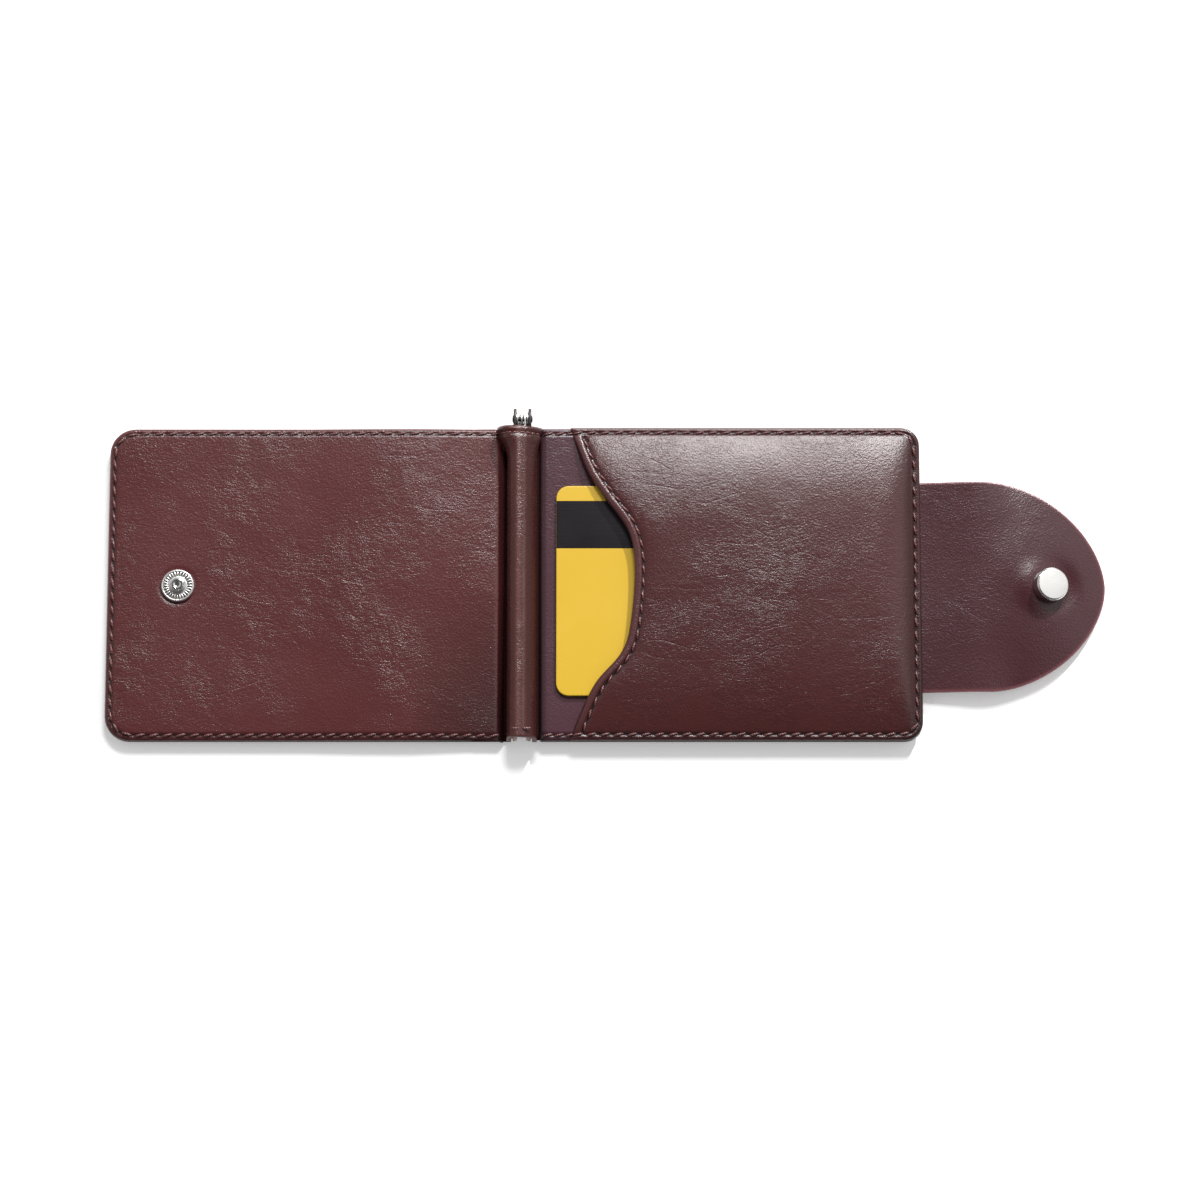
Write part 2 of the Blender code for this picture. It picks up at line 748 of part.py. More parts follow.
def model_stud_post():
    """The rivet from the inner side: its disc lies in the board's hole."""
    shank = panel_top + LAYER_GAP + POST_TOP
    profile = (
        (0.0, shank),
        (POST_RADIUS, shank),
        (POST_RADIUS, board_top),
        (POST_DISC_RADIUS, board_top),
        (POST_DISC_RADIUS, board_bottom),
        (0.0, board_bottom),
    )
    return finish(turned("stud_post", profile, upright(stud_x, STRAP_CENTRE_Y)), NICKEL)


def model_bridge():
    """The strap's stretch between its two folds, rising from the panel's edge."""
    points = rectangle(BRIDGE_SETBACK, bridge_length - SEAM / 2, *strap_sides())
    start = upright(strap_fold_x, 0.0, STRAP_FOOT) @ Matrix.Rotation(-bridge_rise, 4, "Y")
    return finish(plate("strap_bridge", points, 0.0, STRAP_THICK, start), BROWN)


def droop_at(run, aside=0.0):
    """Height of the tongue's under face: it goes on rising, then falls to the table and its sides."""
    side_share = (1 - math.cos(math.pi * min(1.0, run / EDGE_DROOP_RUN))) / 2
    side_fall = EDGE_DROOP * side_share * (aside / STRAP_HALF) ** 2
    fall = tongue_droop * (run / TONGUE_LENGTH) ** DROOP_POWER
    return BEND_HEIGHT + run * math.tan(bridge_rise) - fall - side_fall


def droop_slope(run):
    """Angle that the tongue's middle falls at."""
    share = (run / TONGUE_LENGTH) ** (DROOP_POWER - 1)
    return math.atan(DROOP_POWER * tongue_droop / TONGUE_LENGTH * share - math.tan(bridge_rise))


def tongue_spot(along, across):
    """A point of the tongue's under face from shares of its length and half width."""
    angle = (1 - along) * math.pi / 2
    run = TONGUE_LENGTH - tongue_taper * (1 - max(0.0, math.cos(angle)) ** (2 / TIP_POWER))
    width = STRAP_HALF * max(0.0, math.sin(angle)) ** (2 / TIP_POWER)
    if along == 0:
        run = SEAM / 2
    return (bend_x + run, STRAP_CENTRE_Y + across * width, droop_at(run, across * width))


def model_tongue():
    """The strap's rounded end, bent down to the table, with the snap's seats pressed in it."""
    shape = bmesh.new()
    bmesh.ops.create_grid(shape, x_segments=3 * ARC_STEPS, y_segments=ARC_STEPS, size=1)
    for vert in shape.verts:
        vert.co = tongue_spot((vert.co.x + 1) / 2, vert.co.y)
    bmesh.ops.remove_doubles(shape, verts=shape.verts, dist=WELD)
    bmesh.ops.recalc_face_normals(shape, faces=shape.faces)
    if sum(face.normal.z for face in shape.faces) < 0:
        bmesh.ops.reverse_faces(shape, faces=shape.faces)
    mesh = bpy.data.meshes.new("strap_tongue")
    shape.to_mesh(mesh)
    shape.free()
    tongue = add_object("strap_tongue", mesh, pieces)
    solidify = tongue.modifiers.new("Leather", "SOLIDIFY")
    solidify.thickness = STRAP_THICK
    solidify.offset = 1
    solidify.use_even_offset = True
    cap, socket = CAP_RADIUS + SNAP_CLEARANCE, SOCKET_RADIUS + SNAP_CLEARANCE
    post = CAP_POST_RADIUS + SNAP_CLEARANCE
    seat = STRAP_THICK / 2 - SNAP_CLEARANCE
    profile = (
        (0.0, OVERRUN),
        (cap, OVERRUN),
        (cap, seat),
        (post, seat),
        (post, -seat),
        (socket, -seat),
        (socket, -OVERRUN),
        (0.0, -OVERRUN),
    )
    combine(tongue, turned("snap_seat", profile, snap_place()), "DIFFERENCE")
    return finish(tongue, BROWN)


def snap_place():
    """The snap's own frame, at the leather's mid thickness, square to it but for its lean."""
    slope = droop_slope(snap_run)
    x = bend_x + snap_run + STRAP_THICK / 2 * math.sin(slope)
    z = droop_at(snap_run) + STRAP_THICK / 2 * math.cos(slope)
    return upright(x, STRAP_CENTRE_Y, z) @ Matrix.Rotation(slope + SNAP_LEAN, 4, "Y")


def model_cap():
    """The cap: a drawn cup with a post down its middle."""
    seat = STRAP_THICK / 2
    top = seat + CAP_HEIGHT
    inside = top - CAP_WALL
    profile = (
        (0.0, top),
        (CAP_RADIUS - CAP_ROUND, top),
        (CAP_RADIUS - CAP_ROUND * CAP_ROUND_SHARE, top - CAP_ROUND * CAP_ROUND_SHARE),
        (CAP_RADIUS, top - CAP_ROUND),
        (CAP_RADIUS, seat),
        (CAP_RADIUS - CAP_WALL, seat),
        (CAP_RADIUS - CAP_WALL, inside),
        (CAP_POST_RADIUS, inside),
        (CAP_POST_RADIUS, -seat - SNAP_CLEARANCE),
        (0.0, -seat - SNAP_CLEARANCE),
    )
    return finish(turned("snap_cap", profile, snap_place()), NICKEL)


def model_socket():
    """The socket's case, with a groove for its spring."""
    top = -STRAP_THICK / 2
    foot = top - SOCKET_HEIGHT
    lip = foot + SOCKET_LIP
    roof = top - SOCKET_ROOF
    hole = CAP_POST_RADIUS + SNAP_CLEARANCE
    profile = (
        (SOCKET_RADIUS, top),
        (SOCKET_RADIUS, lip),
        (SOCKET_RADIUS - SOCKET_LIP / 2, foot),
        (SOCKET_MOUTH, foot),
        (SOCKET_MOUTH, lip),
        (SOCKET_GROOVE, lip),
        (SOCKET_GROOVE, roof),
        (hole, roof),
        (hole, top),
    )
    return finish(turned("snap_socket", profile, snap_place(), ring=True), NICKEL)


def model_socket_spring():
    """A split ring in the socket's groove."""
    radius = (SOCKET_MOUTH + SOCKET_GROOVE) / 2
    top = -STRAP_THICK / 2
    height = (top - SOCKET_ROOF + top - SOCKET_HEIGHT + SOCKET_LIP) / 2
    points = []
    for step in range(ROUND_STEPS + 1):
        angle = SOCKET_SPRING_SWEEP * (step / ROUND_STEPS)
        points.append((radius * math.cos(angle), radius * math.sin(angle), height))
    return finish(tube("socket_spring", points, SOCKET_WIRE, snap_place()), STEEL)


def pivot(name, x, y, z):
    """An empty on a moving body's joint axis."""
    empty = bpy.data.objects.new(name, None)
    empty.location = (x, y, z)
    pieces.objects.link(empty)
    return empty


def carry(objects, parent):
    """Hangs objects from a parent where they stand."""
    bpy.context.view_layer.update()
    for obj in objects:
        obj.parent = parent
        obj.matrix_parent_inverse = parent.matrix_world.inverted()


def build():
    root = pivot("wallet", 0.0, 0.0, 0.0)
    spine = pivot("spine_fold", FOLD_HALF, 0.0, 0.0)
    cover = pivot("cover_fold", -FOLD_HALF, 0.0, 0.0)
    arm = pivot("clip_hinge", 0.0, pin_y, PIN_HEIGHT)
    bridge = pivot("strap_fold", strap_fold_x, STRAP_CENTRE_Y, STRAP_FOOT)
    tongue = pivot("strap_bend", bend_x, STRAP_CENTRE_Y, BEND_HEIGHT)
    card = pivot("card_slide", CARD_START, -CARD_DROP, card_bottom)
    carry(model_back_panel(), root)
    carry([model_spine_leather(), model_channel(), model_pin(), model_hinge_spring()], spine)
    carry([model_arm()], arm)
    carry(model_cover(), cover)
    carry([model_bridge()], bridge)
    carry([model_tongue(), model_cap(), model_socket(), model_socket_spring()], tongue)
    carry([model_card()], card)
    carry([cover, arm], spine)
    carry([tongue], bridge)
    carry([spine, bridge, card], root)
    carry(list(cutters.objects), root)
    tip_edge = strap_reach + STRAP_THICK * math.sin(droop_slope(TONGUE_LENGTH))
    root.location = ((cover_reach - tip_edge) / 2, (panel_half - ear_end) / 2, 0.0)
    bpy.context.view_layer.update()


clear_scene()
pieces = new_collection("wallet")
cutters = new_collection("cutters", helper=True)
build()
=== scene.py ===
"""Looks of the money-clip wallet: leather, stitches, snap, clip and card, lying open on a white table."""

import json
import math

import bmesh
import bpy
import numpy as np
from mathutils import Matrix, Vector, noise


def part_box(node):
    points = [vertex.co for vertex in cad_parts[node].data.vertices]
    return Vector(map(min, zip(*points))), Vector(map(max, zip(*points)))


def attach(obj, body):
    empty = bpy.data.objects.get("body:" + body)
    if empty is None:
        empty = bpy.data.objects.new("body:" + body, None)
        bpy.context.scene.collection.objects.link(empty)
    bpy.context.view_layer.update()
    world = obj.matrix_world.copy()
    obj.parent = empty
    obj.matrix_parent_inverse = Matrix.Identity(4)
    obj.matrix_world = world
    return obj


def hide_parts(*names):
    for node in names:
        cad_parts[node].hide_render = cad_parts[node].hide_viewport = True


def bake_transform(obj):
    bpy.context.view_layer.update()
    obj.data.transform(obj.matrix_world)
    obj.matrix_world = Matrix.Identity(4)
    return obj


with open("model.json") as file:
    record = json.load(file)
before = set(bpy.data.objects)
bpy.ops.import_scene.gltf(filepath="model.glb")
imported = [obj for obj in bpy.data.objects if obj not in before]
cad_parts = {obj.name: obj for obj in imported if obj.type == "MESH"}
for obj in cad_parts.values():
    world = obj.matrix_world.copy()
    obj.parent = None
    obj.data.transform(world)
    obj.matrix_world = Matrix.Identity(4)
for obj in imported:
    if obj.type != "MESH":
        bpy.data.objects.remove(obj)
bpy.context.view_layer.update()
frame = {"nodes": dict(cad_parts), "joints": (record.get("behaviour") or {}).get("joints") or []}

MM = 0.001


# The studio is a white table under a low lamp from the upper right, which draws the sharp
# shadows, with a large soft lamp behind and pale surroundings that fill the shadows.
TABLE_SIZE = 6.0
TABLE_LIFT = 0.25
SCREEN_WAY = Vector((0.517, 0.218, 0.827)).normalized()


def add_node(tree, kind, *feeds, setup=None, **sockets):
    """A node with its settings and, on each socket, a plain value or the output that feeds it."""
    node = tree.nodes.new(f"ShaderNode{kind}")
    for name, value in (setup or {}).items():
        setattr(node, name, value)
    named = [(node.inputs[name.replace("_", " ")], value) for name, value in sockets.items()]
    for socket, value in [*zip(node.inputs, feeds), *named]:
        if isinstance(value, bpy.types.NodeSocket):
            tree.links.new(value, socket)
        else:
            socket.default_value = value
    return node


def new_material(name, **values):
    """A material with plain values on its shader's sockets, and its node tree."""
    material = bpy.data.materials.new(name)
    material.use_nodes = True
    for socket, value in values.items():
        material.node_tree.nodes["Principled BSDF"].inputs[socket.replace("_", " ")].default_value = value
    return material, material.node_tree


def mix_colours(tree, share, first, second):
    """A blend of two colours, each either plain red, green and blue or an output."""
    first, second = ((*part, 1.0) if isinstance(part, tuple) else part for part in (first, second))
    mixed = add_node(tree, "Mix", setup={"data_type": "RGBA"}, Factor=share, A=first, B=second)
    return mixed.outputs["Result"]


def feed_shader(tree, colour, roughness=None, height=None, distance=0.0, strength=1.0):
    """Links the shader's colour and, where given, its roughness and a bump from a height."""
    shader = tree.nodes["Principled BSDF"]
    tree.links.new(colour, shader.inputs["Base Color"])
    if roughness is not None:
        tree.links.new(roughness, shader.inputs["Roughness"])
    if height is not None:
        bump = add_node(tree, "Bump", Strength=strength, Distance=distance, Height=height)
        tree.links.new(bump.outputs["Normal"], shader.inputs["Normal"])


def mottled(name, first, second, scale, detail, relief=None, **values):
    """A matt material whose colour varies with a noise, as fibres, pulp and paint do."""
    material, tree = new_material(name, **values)
    place = add_node(tree, "TexCoord").outputs["Object"]
    fibres = add_node(tree, "TexNoise", Vector=place, Scale=scale, Detail=detail).outputs["Fac"]
    height = {"height": fibres, "distance": relief} if relief else {}
    feed_shader(tree, mix_colours(tree, fibres, first, second), **height)
    return material


def table_material():
    """A matt white top, lifted a little for the camera alone."""
    material = mottled(
        "white_table", (0.985, 0.985, 0.985), (1.0, 1.0, 1.0), 6.0, 2.0,
        Roughness=0.8, Specular_IOR_Level=0.1, Emission_Color=(1.0, 1.0, 1.0, 1.0),
    )
    tree = material.node_tree
    seen = add_node(tree, "LightPath").outputs["Is Camera Ray"]
    lift = add_node(tree, "Math", seen, TABLE_LIFT, setup={"operation": "MULTIPLY"})
    tree.links.new(lift.outputs[0], tree.nodes["Principled BSDF"].inputs["Emission Strength"])
    return material


def make_table():
    shape = bmesh.new()
    bmesh.ops.create_grid(shape, x_segments=1, y_segments=1, size=TABLE_SIZE / 2)
    mesh = bpy.data.meshes.new("table")
    shape.to_mesh(mesh)
    shape.free()
    table = bpy.data.objects.new("table", mesh)
    bpy.context.scene.collection.objects.link(table)
    table.data.materials.append(table_material())


def aim(obj, spot, target):
    obj.location = spot
    obj.rotation_euler = (Vector(target) - Vector(spot)).to_track_quat("-Z", "Y").to_euler()
    bpy.context.scene.collection.objects.link(obj)


def light_studio():
    low_lamp = bpy.data.lights.new("low_lamp", "SUN")
    low_lamp.energy = 2.95
    low_lamp.angle = math.radians(1.2)
    aim(bpy.data.objects.new("low_lamp", low_lamp), (0.302, 0.646, 0.42), (0.0, 0.0, 0.0))
    soft_lamp = bpy.data.lights.new("soft_lamp", "AREA")
    soft_lamp.shape = "RECTANGLE"
    soft_lamp.size = 0.38
    soft_lamp.size_y = 0.24
    soft_lamp.energy = 10.0
    aim(bpy.data.objects.new("soft_lamp", soft_lamp), (0.10, 0.80, 1.00), (0.02, 0.0, 0.0))
    bpy.context.scene.world = studio_room()
    bpy.context.scene.view_settings.view_transform = "Standard"


def studio_room():
    """Pale walls and a screen at the right, a dim front, and a dark ceiling over the glossy leather."""
    room = bpy.data.worlds.new("studio_room")
    room.use_nodes = True
    tree = room.node_tree
    backdrop = tree.nodes["Background"]
    backdrop.inputs["Color"].default_value = (1.0, 1.0, 1.0, 1.0)
    way = add_node(tree, "TexCoord").outputs["Generated"]
    split = add_node(tree, "SeparateXYZ", Vector=way)
    smooth, times = {"interpolation_type": "SMOOTHSTEP"}, {"operation": "MULTIPLY"}
    ceiling = add_node(
        tree, "MapRange", setup=smooth, Value=split.outputs["Z"],
        From_Min=0.80, From_Max=0.96, To_Min=0.50, To_Max=0.08,
    )
    facing = add_node(tree, "VectorMath", way, SCREEN_WAY, setup={"operation": "DOT_PRODUCT"})
    screen = add_node(
        tree, "MapRange", setup=smooth, Value=facing.outputs["Value"],
        From_Min=0.955, From_Max=0.985, To_Max=0.8,
    )
    front = add_node(
        tree, "MapRange", setup=smooth, Value=split.outputs["Y"],
        From_Min=-0.6, From_Max=0.1, To_Min=0.25,
    )
    path = add_node(tree, "LightPath").outputs
    dim = add_node(tree, "Mix", Factor=path["Is Glossy Ray"], A=1.0, B=front.outputs["Result"])
    walls = add_node(tree, "Math", ceiling.outputs["Result"], dim.outputs["Result"], setup=times)
    lit = add_node(tree, "Math", walls.outputs[0], screen.outputs["Result"])
    seen = add_node(tree, "Mix", Factor=path["Is Camera Ray"], A=lit.outputs[0], B=1.0)
    tree.links.new(seen.outputs["Result"], backdrop.inputs["Strength"])
    return room


def place_camera():
    """The photograph's view: from the front, a little off straight down, with a long lens."""
    elevation, distance, view_width = math.radians(77.4), 1.25, 0.3024
    target = Vector((-1.65 * MM, -5.83 * MM, 0.0))
    lens = bpy.data.cameras.new("camera")
    lens.sensor_width = 36.0
    lens.lens = lens.sensor_width * distance / view_width
    lens.clip_start = 0.05
    camera = bpy.data.objects.new("camera", lens)
    back = Vector((0.0, -math.cos(elevation), math.sin(elevation)))
    aim(camera, target + back * distance, target)
    bpy.context.scene.camera = camera


make_table()
light_studio()
place_camera()


# The leather is chrome-tanned cowhide, dyed dark reddish brown and glazed. Fine pebbles, short
# wrinkles and a few long creases show in it, and the creases are darkened with painted shade. Its
# folded edges are lighter from wear, and painted highlight and painted shade lie along edges and seams.
def grain_group():
    """Outputs the height of the leather's grain, the mask of its creases and its slow clouds."""
    group = bpy.data.node_groups.new("leather_grain", "ShaderNodeTree")
    for name, way, kind in (
        ("Place", "INPUT", "Vector"), ("Creases", "INPUT", "Float"), ("Height", "OUTPUT", "Float"),
        ("Crease mask", "OUTPUT", "Float"), ("Cloud", "OUTPUT", "Float"),
    ):
        group.interface.new_socket(name, in_out=way, socket_type=f"NodeSocket{kind}")
    given, results = group.nodes.new("NodeGroupInput"), group.nodes.new("NodeGroupOutput")
    place, amount = given.outputs["Place"], given.outputs["Creases"]

    def noise_at(spot, scale, detail, **values):
        return add_node(group, "TexNoise", Vector=spot, Scale=scale, Detail=detail, **values).outputs

    def maths(operation, first, second, clamp=False):
        setup = {"operation": operation, "use_clamp": clamp}
        return add_node(group, "Math", first, second, setup=setup).outputs[0]

    def stretched(spot, turn, share):
        turns, sizes = (0.0, 0.0, turn), (share, 1.0, 1.0)
        return add_node(group, "Mapping", Vector=spot, Rotation=turns, Scale=sizes).outputs[0]

    def lines(height, sharpness):
        """Thin lines where a noise passes its middle."""
        away = maths("ABSOLUTE", maths("SUBTRACT", height, 0.5), 0.0)
        return maths("SUBTRACT", 1.0, maths("MULTIPLY", away, sharpness), clamp=True)

    bend = noise_at(place, 140.0, 2.0)["Color"]
    reach, shifts = (0.004, 0.004, 0.004), {"operation": "MULTIPLY_ADD"}
    shift = add_node(group, "VectorMath", bend, reach, place, setup=shifts).outputs[0]
    pebbles = add_node(group, "TexVoronoi", setup={"feature": "SMOOTH_F1"}, Vector=shift, Scale=2100.0)
    fine = noise_at(place, 3200.0, 3.0)["Fac"]
    wrinkles = [
        lines(noise_at(stretched(shift, turn, share), scale, 3.0, Roughness=0.6)["Fac"], 12.0)
        for turn, share, scale in ((0.5, 0.33, 1150.0), (-0.25, 0.28, 800.0))
    ]
    where = noise_at(place, 38.0, 3.0)["Fac"]
    patch = maths("MULTIPLY", maths("SUBTRACT", where, 0.36), 3.0, clamp=True)
    both = maths("MULTIPLY", maths("ADD", *wrinkles), 0.5)
    mask = maths("MULTIPLY", maths("MULTIPLY", both, patch), amount)
    fold = lines(noise_at(stretched(place, 0.3, 0.4), 95.0, 1.5, Distortion=0.6)["Fac"], 55.0)
    fold = maths("MULTIPLY", maths("MULTIPLY", fold, patch), amount)
    grain = maths("MULTIPLY", pebbles.outputs["Distance"], 0.42)
    grain = maths("ADD", grain, maths("MULTIPLY", fine, 0.30))
    grain = maths("ADD", grain, maths("MULTIPLY", where, 2.6))
    grain = maths("SUBTRACT", grain, maths("MULTIPLY", mask, 0.42))
    grain = maths("SUBTRACT", grain, maths("MULTIPLY", fold, 0.32))
    cloud = noise_at(place, 22.0, 4.0)["Fac"]
    for value, socket in zip((grain, mask, cloud), results.inputs):
        group.links.new(value, socket)
    return group


leather_grain = grain_group()
REST_PLACE = "rest_place"
# The wear mark holds real edge wear, and also painted highlight above nought and painted shade below
# nought.
WEAR_AND_PAINTED_LIGHT_MARK = "wear"


def leather(name, colour, dark, rough=0.32, creases=1.0, relief=0.09 * MM, follows=False, edge=None):
    """Glazed leather. Where it follows, its pattern stays with a piece that bends."""
    material, tree = new_material(name, Specular_IOR_Level=0.55)
    if follows:
        place = add_node(tree, "Attribute", setup={"attribute_name": REST_PLACE}).outputs["Vector"]
    else:
        place = add_node(tree, "TexCoord").outputs["Object"]
    grain = add_node(tree, "Group", setup={"node_tree": leather_grain}, Place=place, Creases=creases)
    height, mask, cloud = grain.outputs[:]
    wear = add_node(tree, "Attribute", setup={"attribute_name": WEAR_AND_PAINTED_LIGHT_MARK}).outputs["Fac"]
    # Below nought, the wear mark darkens the tone towards near black: painted shade.
    hollow = add_node(tree, "Math", wear, -1.0, setup={"operation": "MULTIPLY", "use_clamp": True})
    wear_and_highlight = edge or tuple(1.5 * part + 0.03 for part in colour)
    tone = mix_colours(tree, cloud, dark, colour)
    # The creases are coloured darker: painted shade in the creases.
    tone = mix_colours(tree, mask, tone, tuple(0.75 * part for part in dark))
    # Above nought, the tone turns to the lighter colour: real edge wear and painted highlight.
    tone = mix_colours(tree, wear, tone, wear_and_highlight)
    tone = mix_colours(tree, hollow.outputs[0], tone, tuple(0.22 * part for part in dark))
    gloss = add_node(tree, "MapRange", Value=cloud, To_Min=rough - 0.06, To_Max=rough + 0.08)
    feed_shader(tree, tone, gloss.outputs["Result"], height, relief)
    return material


hide = leather(
    "hide", (0.092, 0.0195, 0.0205), (0.069, 0.0145, 0.015), rough=0.27, creases=0.85, relief=0.11 * MM
)


def add_piece(name, shape, *materials):
    """Makes a bmesh into a piece, whose place is in its mesh."""
    mesh = bpy.data.meshes.new(name)
    shape.to_mesh(mesh)
    shape.free()
    for face in mesh.polygons:
        face.use_smooth = True
    piece = bpy.data.objects.new(name, mesh)
    bpy.context.scene.collection.objects.link(piece)
    for material in materials:
        mesh.materials.append(material)
    return piece


def gaps_to(points, path, closed=False):
    """Each point's distance to a path in X and Y, and how far along the path its foot is."""
    path = np.asarray(path, float)
    ends = np.roll(path, -1, axis=0) if closed else path[1:]
    starts = path if closed else path[:-1]
    runs = ends - starts
    lengths = np.linalg.norm(runs, axis=1)
    before = np.concatenate([[0.0], np.cumsum(lengths)[:-1]])
    best = np.full(len(points), 1e9)
    along = np.zeros(len(points))
    for start, run, length, begun in zip(starts, runs, lengths, before):
        share = np.clip(((points - start) @ run) / (length * length), 0.0, 1.0)
        gap = np.linalg.norm(points - start - share[:, None] * run, axis=1)
        nearer = gap < best
        best[nearer] = gap[nearer]
        along[nearer] = begun + share[nearer] * length
    return best, along


def even_path(path, pitch, closed=False):
    """Points along a path at an even pitch, as (place, direction)."""
    path = [Vector(spot) for spot in path]
    if closed:
        path = path + [path[0]]
    total = sum((b - a).length for a, b in zip(path, path[1:]))
    count = max(2, round(total / pitch))
    steps = [total * index / count for index in range(count if closed else count + 1)]
    spots, begun, index = [], 0.0, 0
    for step in steps:
        while index < len(path) - 2 and step > begun + (path[index + 1] - path[index]).length:
            begun += (path[index + 1] - path[index]).length
            index += 1
        run = path[index + 1] - path[index]
        share = (step - begun) / run.length
        spots.append((path[index] + run * share, run.normalized()))
    return spots


def corner_arc(x, y, radius, start, steps=8):
    """Points of a quarter circle about a centre, anticlockwise from an angle in quarter turns."""
    return [
        (
            x + radius * math.cos((start + step / steps) * math.pi / 2),
            y + radius * math.sin((start + step / steps) * math.pi / 2),
        )
        for step in range(steps + 1)
    ]


CORNER_MERGE = 0.28 * MM
CUT_GAP = 0.001 * MM
OUTLINE_STEP = 0.9 * MM


def face_up(shape):
    """Turns a sheet's faces all the same way, with the upper side out."""
    bmesh.ops.recalc_face_normals(shape, faces=shape.faces)
    if sum(face.normal.z * face.calc_area() for face in shape.faces) < 0:
        bmesh.ops.reverse_faces(shape, faces=shape.faces)


def cut_across(shape, spot, normal, dist=CUT_GAP, **keep):
    """Cuts a mesh along a plane."""
    everything = shape.verts[:] + shape.edges[:] + shape.faces[:]
    bmesh.ops.bisect_plane(shape, geom=everything, plane_co=spot, plane_no=normal, dist=dist, **keep)


def ringed_sheet(outline, insets, cell):
    """A flat sheet in an outline, with loops that follow its edge and a grid of cells inside."""
    shape = bmesh.new()
    edge = [shape.verts.new((x, y, 0.0)) for x, y in outline]
    inner = shape.faces.new(edge)
    inner.normal_update()
    if inner.normal.z < 0:
        inner.normal_flip()
    for before, after in zip((0.0, *insets), insets):
        bmesh.ops.inset_region(
            shape, faces=[inner], thickness=after - before, use_even_offset=True, use_boundary=True
        )
        bmesh.ops.remove_doubles(shape, verts=inner.verts[:], dist=CORNER_MERGE)
        inner = max(shape.faces, key=lambda face: face.calc_area())
    for axis in (0, 1):
        low, high = min(spot[axis] for spot in outline), max(spot[axis] for spot in outline)
        count = round((high - low) / cell)
        for step in range(1, count):
            spot, normal = Vector(), Vector()
            spot[axis], normal[axis] = low + (high - low) * step / count, 1.0
            cut_across(shape, spot, normal)
    return shape


def quarter_round(gap, radius):
    """How far a rounded edge has fallen at a distance in from it."""
    inside = np.clip(radius - gap, 0.0, radius)
    return radius - np.sqrt(radius * radius - inside * inside)


def panel_outline(left, right, low, high, left_radius, right_radius, step=OUTLINE_STEP):
    """Outline of a panel from above, with a point at every step."""
    spots = corner_arc(right - right_radius, high - right_radius, right_radius, 0)
    spots += corner_arc(left + left_radius, high - left_radius, left_radius, 1)
    spots += corner_arc(left + left_radius, low + left_radius, left_radius, 2)
    spots += corner_arc(right - right_radius, low + right_radius, right_radius, 3)
    return [tuple(spot) for spot, _ in even_path(spots, step, closed=True)]


def set_heights(shape, height_at, wear_and_painted_light_at):
    """Gives each point of a flat sheet its height and its share of wear, painted highlight and painted
    shade.
    """
    wear = shape.verts.layers.float.new(WEAR_AND_PAINTED_LIGHT_MARK)
    points = np.array([vert.co[:2] for vert in shape.verts])
    for vert, height, share in zip(shape.verts, height_at(points), wear_and_painted_light_at(points)):
        vert.co.z = height
        vert[wear] = share


def drop_rim(shape, bottom_at):
    """Turns the sheet's edge down to a height that depends on the place."""
    rim = [edge for edge in shape.edges if edge.is_boundary]
    made = bmesh.ops.extrude_edge_only(shape, edges=rim)["geom"]
    for vert in made:
        if isinstance(vert, bmesh.types.BMVert):
            vert.co.z = bottom_at(vert.co)
    face_up(shape)


def draw_out(shape, edges, length):
    """Draws a line of edges out along Y into a wall."""
    made = bmesh.ops.extrude_edge_only(shape, edges=edges)["geom"]
    ends = [item for item in made if isinstance(item, bmesh.types.BMVert)]
    bmesh.ops.translate(shape, verts=ends, vec=(0.0, length, 0.0))


def thicken(piece, thickness, offset=-1.0):
    """Gives a sheet its thickness, below its face unless it is told otherwise."""
    solidify = piece.modifiers.new("Leather", "SOLIDIFY")
    solidify.thickness = thickness
    solidify.offset = offset
    return piece


def waves(points, rise, size, seed):
    """Slow rises and falls of leather that has lain and bent."""
    return rise * np.array([noise.noise(Vector((x / size, y / size, seed))) for x, y in points])


SEAM_INSET = 1.45 * MM
STITCH_PITCH = 3.4 * MM
THREAD_RADIUS = 0.30 * MM
THREAD_HALF = 0.41 * STITCH_PITCH
THREAD_RISE = 0.85 * THREAD_RADIUS
THREAD_SINK = 0.42 * MM
STITCH_LEAN = 0.22
GROOVE_DEPTH, GROOVE_WIDTH = 0.21 * MM, 0.44 * MM
HOLE_DEPTH, HOLE_WIDTH, HOLE_LENGTH = 0.22 * MM, 0.4 * MM, 0.45 * MM
SHADE_WIDTH = 0.42 * MM


def bell(gap, width):
    """A bell curve that is 1 at nought."""
    return np.exp(-((gap / width) ** 2))


def seam_fall(points, path):
    """The groove that the thread pulls into the leather, with a hole at each stitch's end."""
    gap, along = gaps_to(points, path)
    length = sum((Vector(b) - Vector(a)).length for a, b in zip(path, path[1:]))
    pitch = length / max(2, round(length / STITCH_PITCH))
    to_hole = (np.mod(along / pitch + 0.5, 1.0) - 0.5) * pitch
    holes = HOLE_DEPTH * bell(gap, HOLE_WIDTH) * bell(to_hole, HOLE_LENGTH)
    return GROOVE_DEPTH * bell(gap, GROOVE_WIDTH) + holes


def add_thread(shape, place, half, radius, segments=8, rings=6):
    """A short thread along its place's X axis, thinning towards its ends."""
    size = Matrix.Diagonal((half, radius, radius, 1.0))
    lay = place @ size @ Matrix.Rotation(math.pi / 2, 4, "Y")
    return bmesh.ops.create_uvsphere(
        shape, u_segments=segments, v_segments=rings, radius=1.0, matrix=lay
    )["verts"]


def sew(name, path, height_at):
    """A row of saddle stitches along a seam, each a short leaning thread sunk at both ends."""
    shape = bmesh.new()
    spots = even_path(path, STITCH_PITCH)
    for (here, way), (there, _) in zip(spots, spots[1:]):
        middle = (here + there) / 2
        height = float(height_at(np.array([middle[:]]))[0])
        place = Matrix.Translation((middle.x, middle.y, height + THREAD_RISE))
        turn = Matrix.Rotation(math.atan2(way.y, way.x) + STITCH_LEAN, 4, "Z")
        for vert in add_thread(shape, place @ turn, THREAD_HALF, THREAD_RADIUS):
            share = (vert.co.xy - middle).length / THREAD_HALF
            vert.co.z -= THREAD_SINK * share**3
    return add_piece(name, shape, thread)


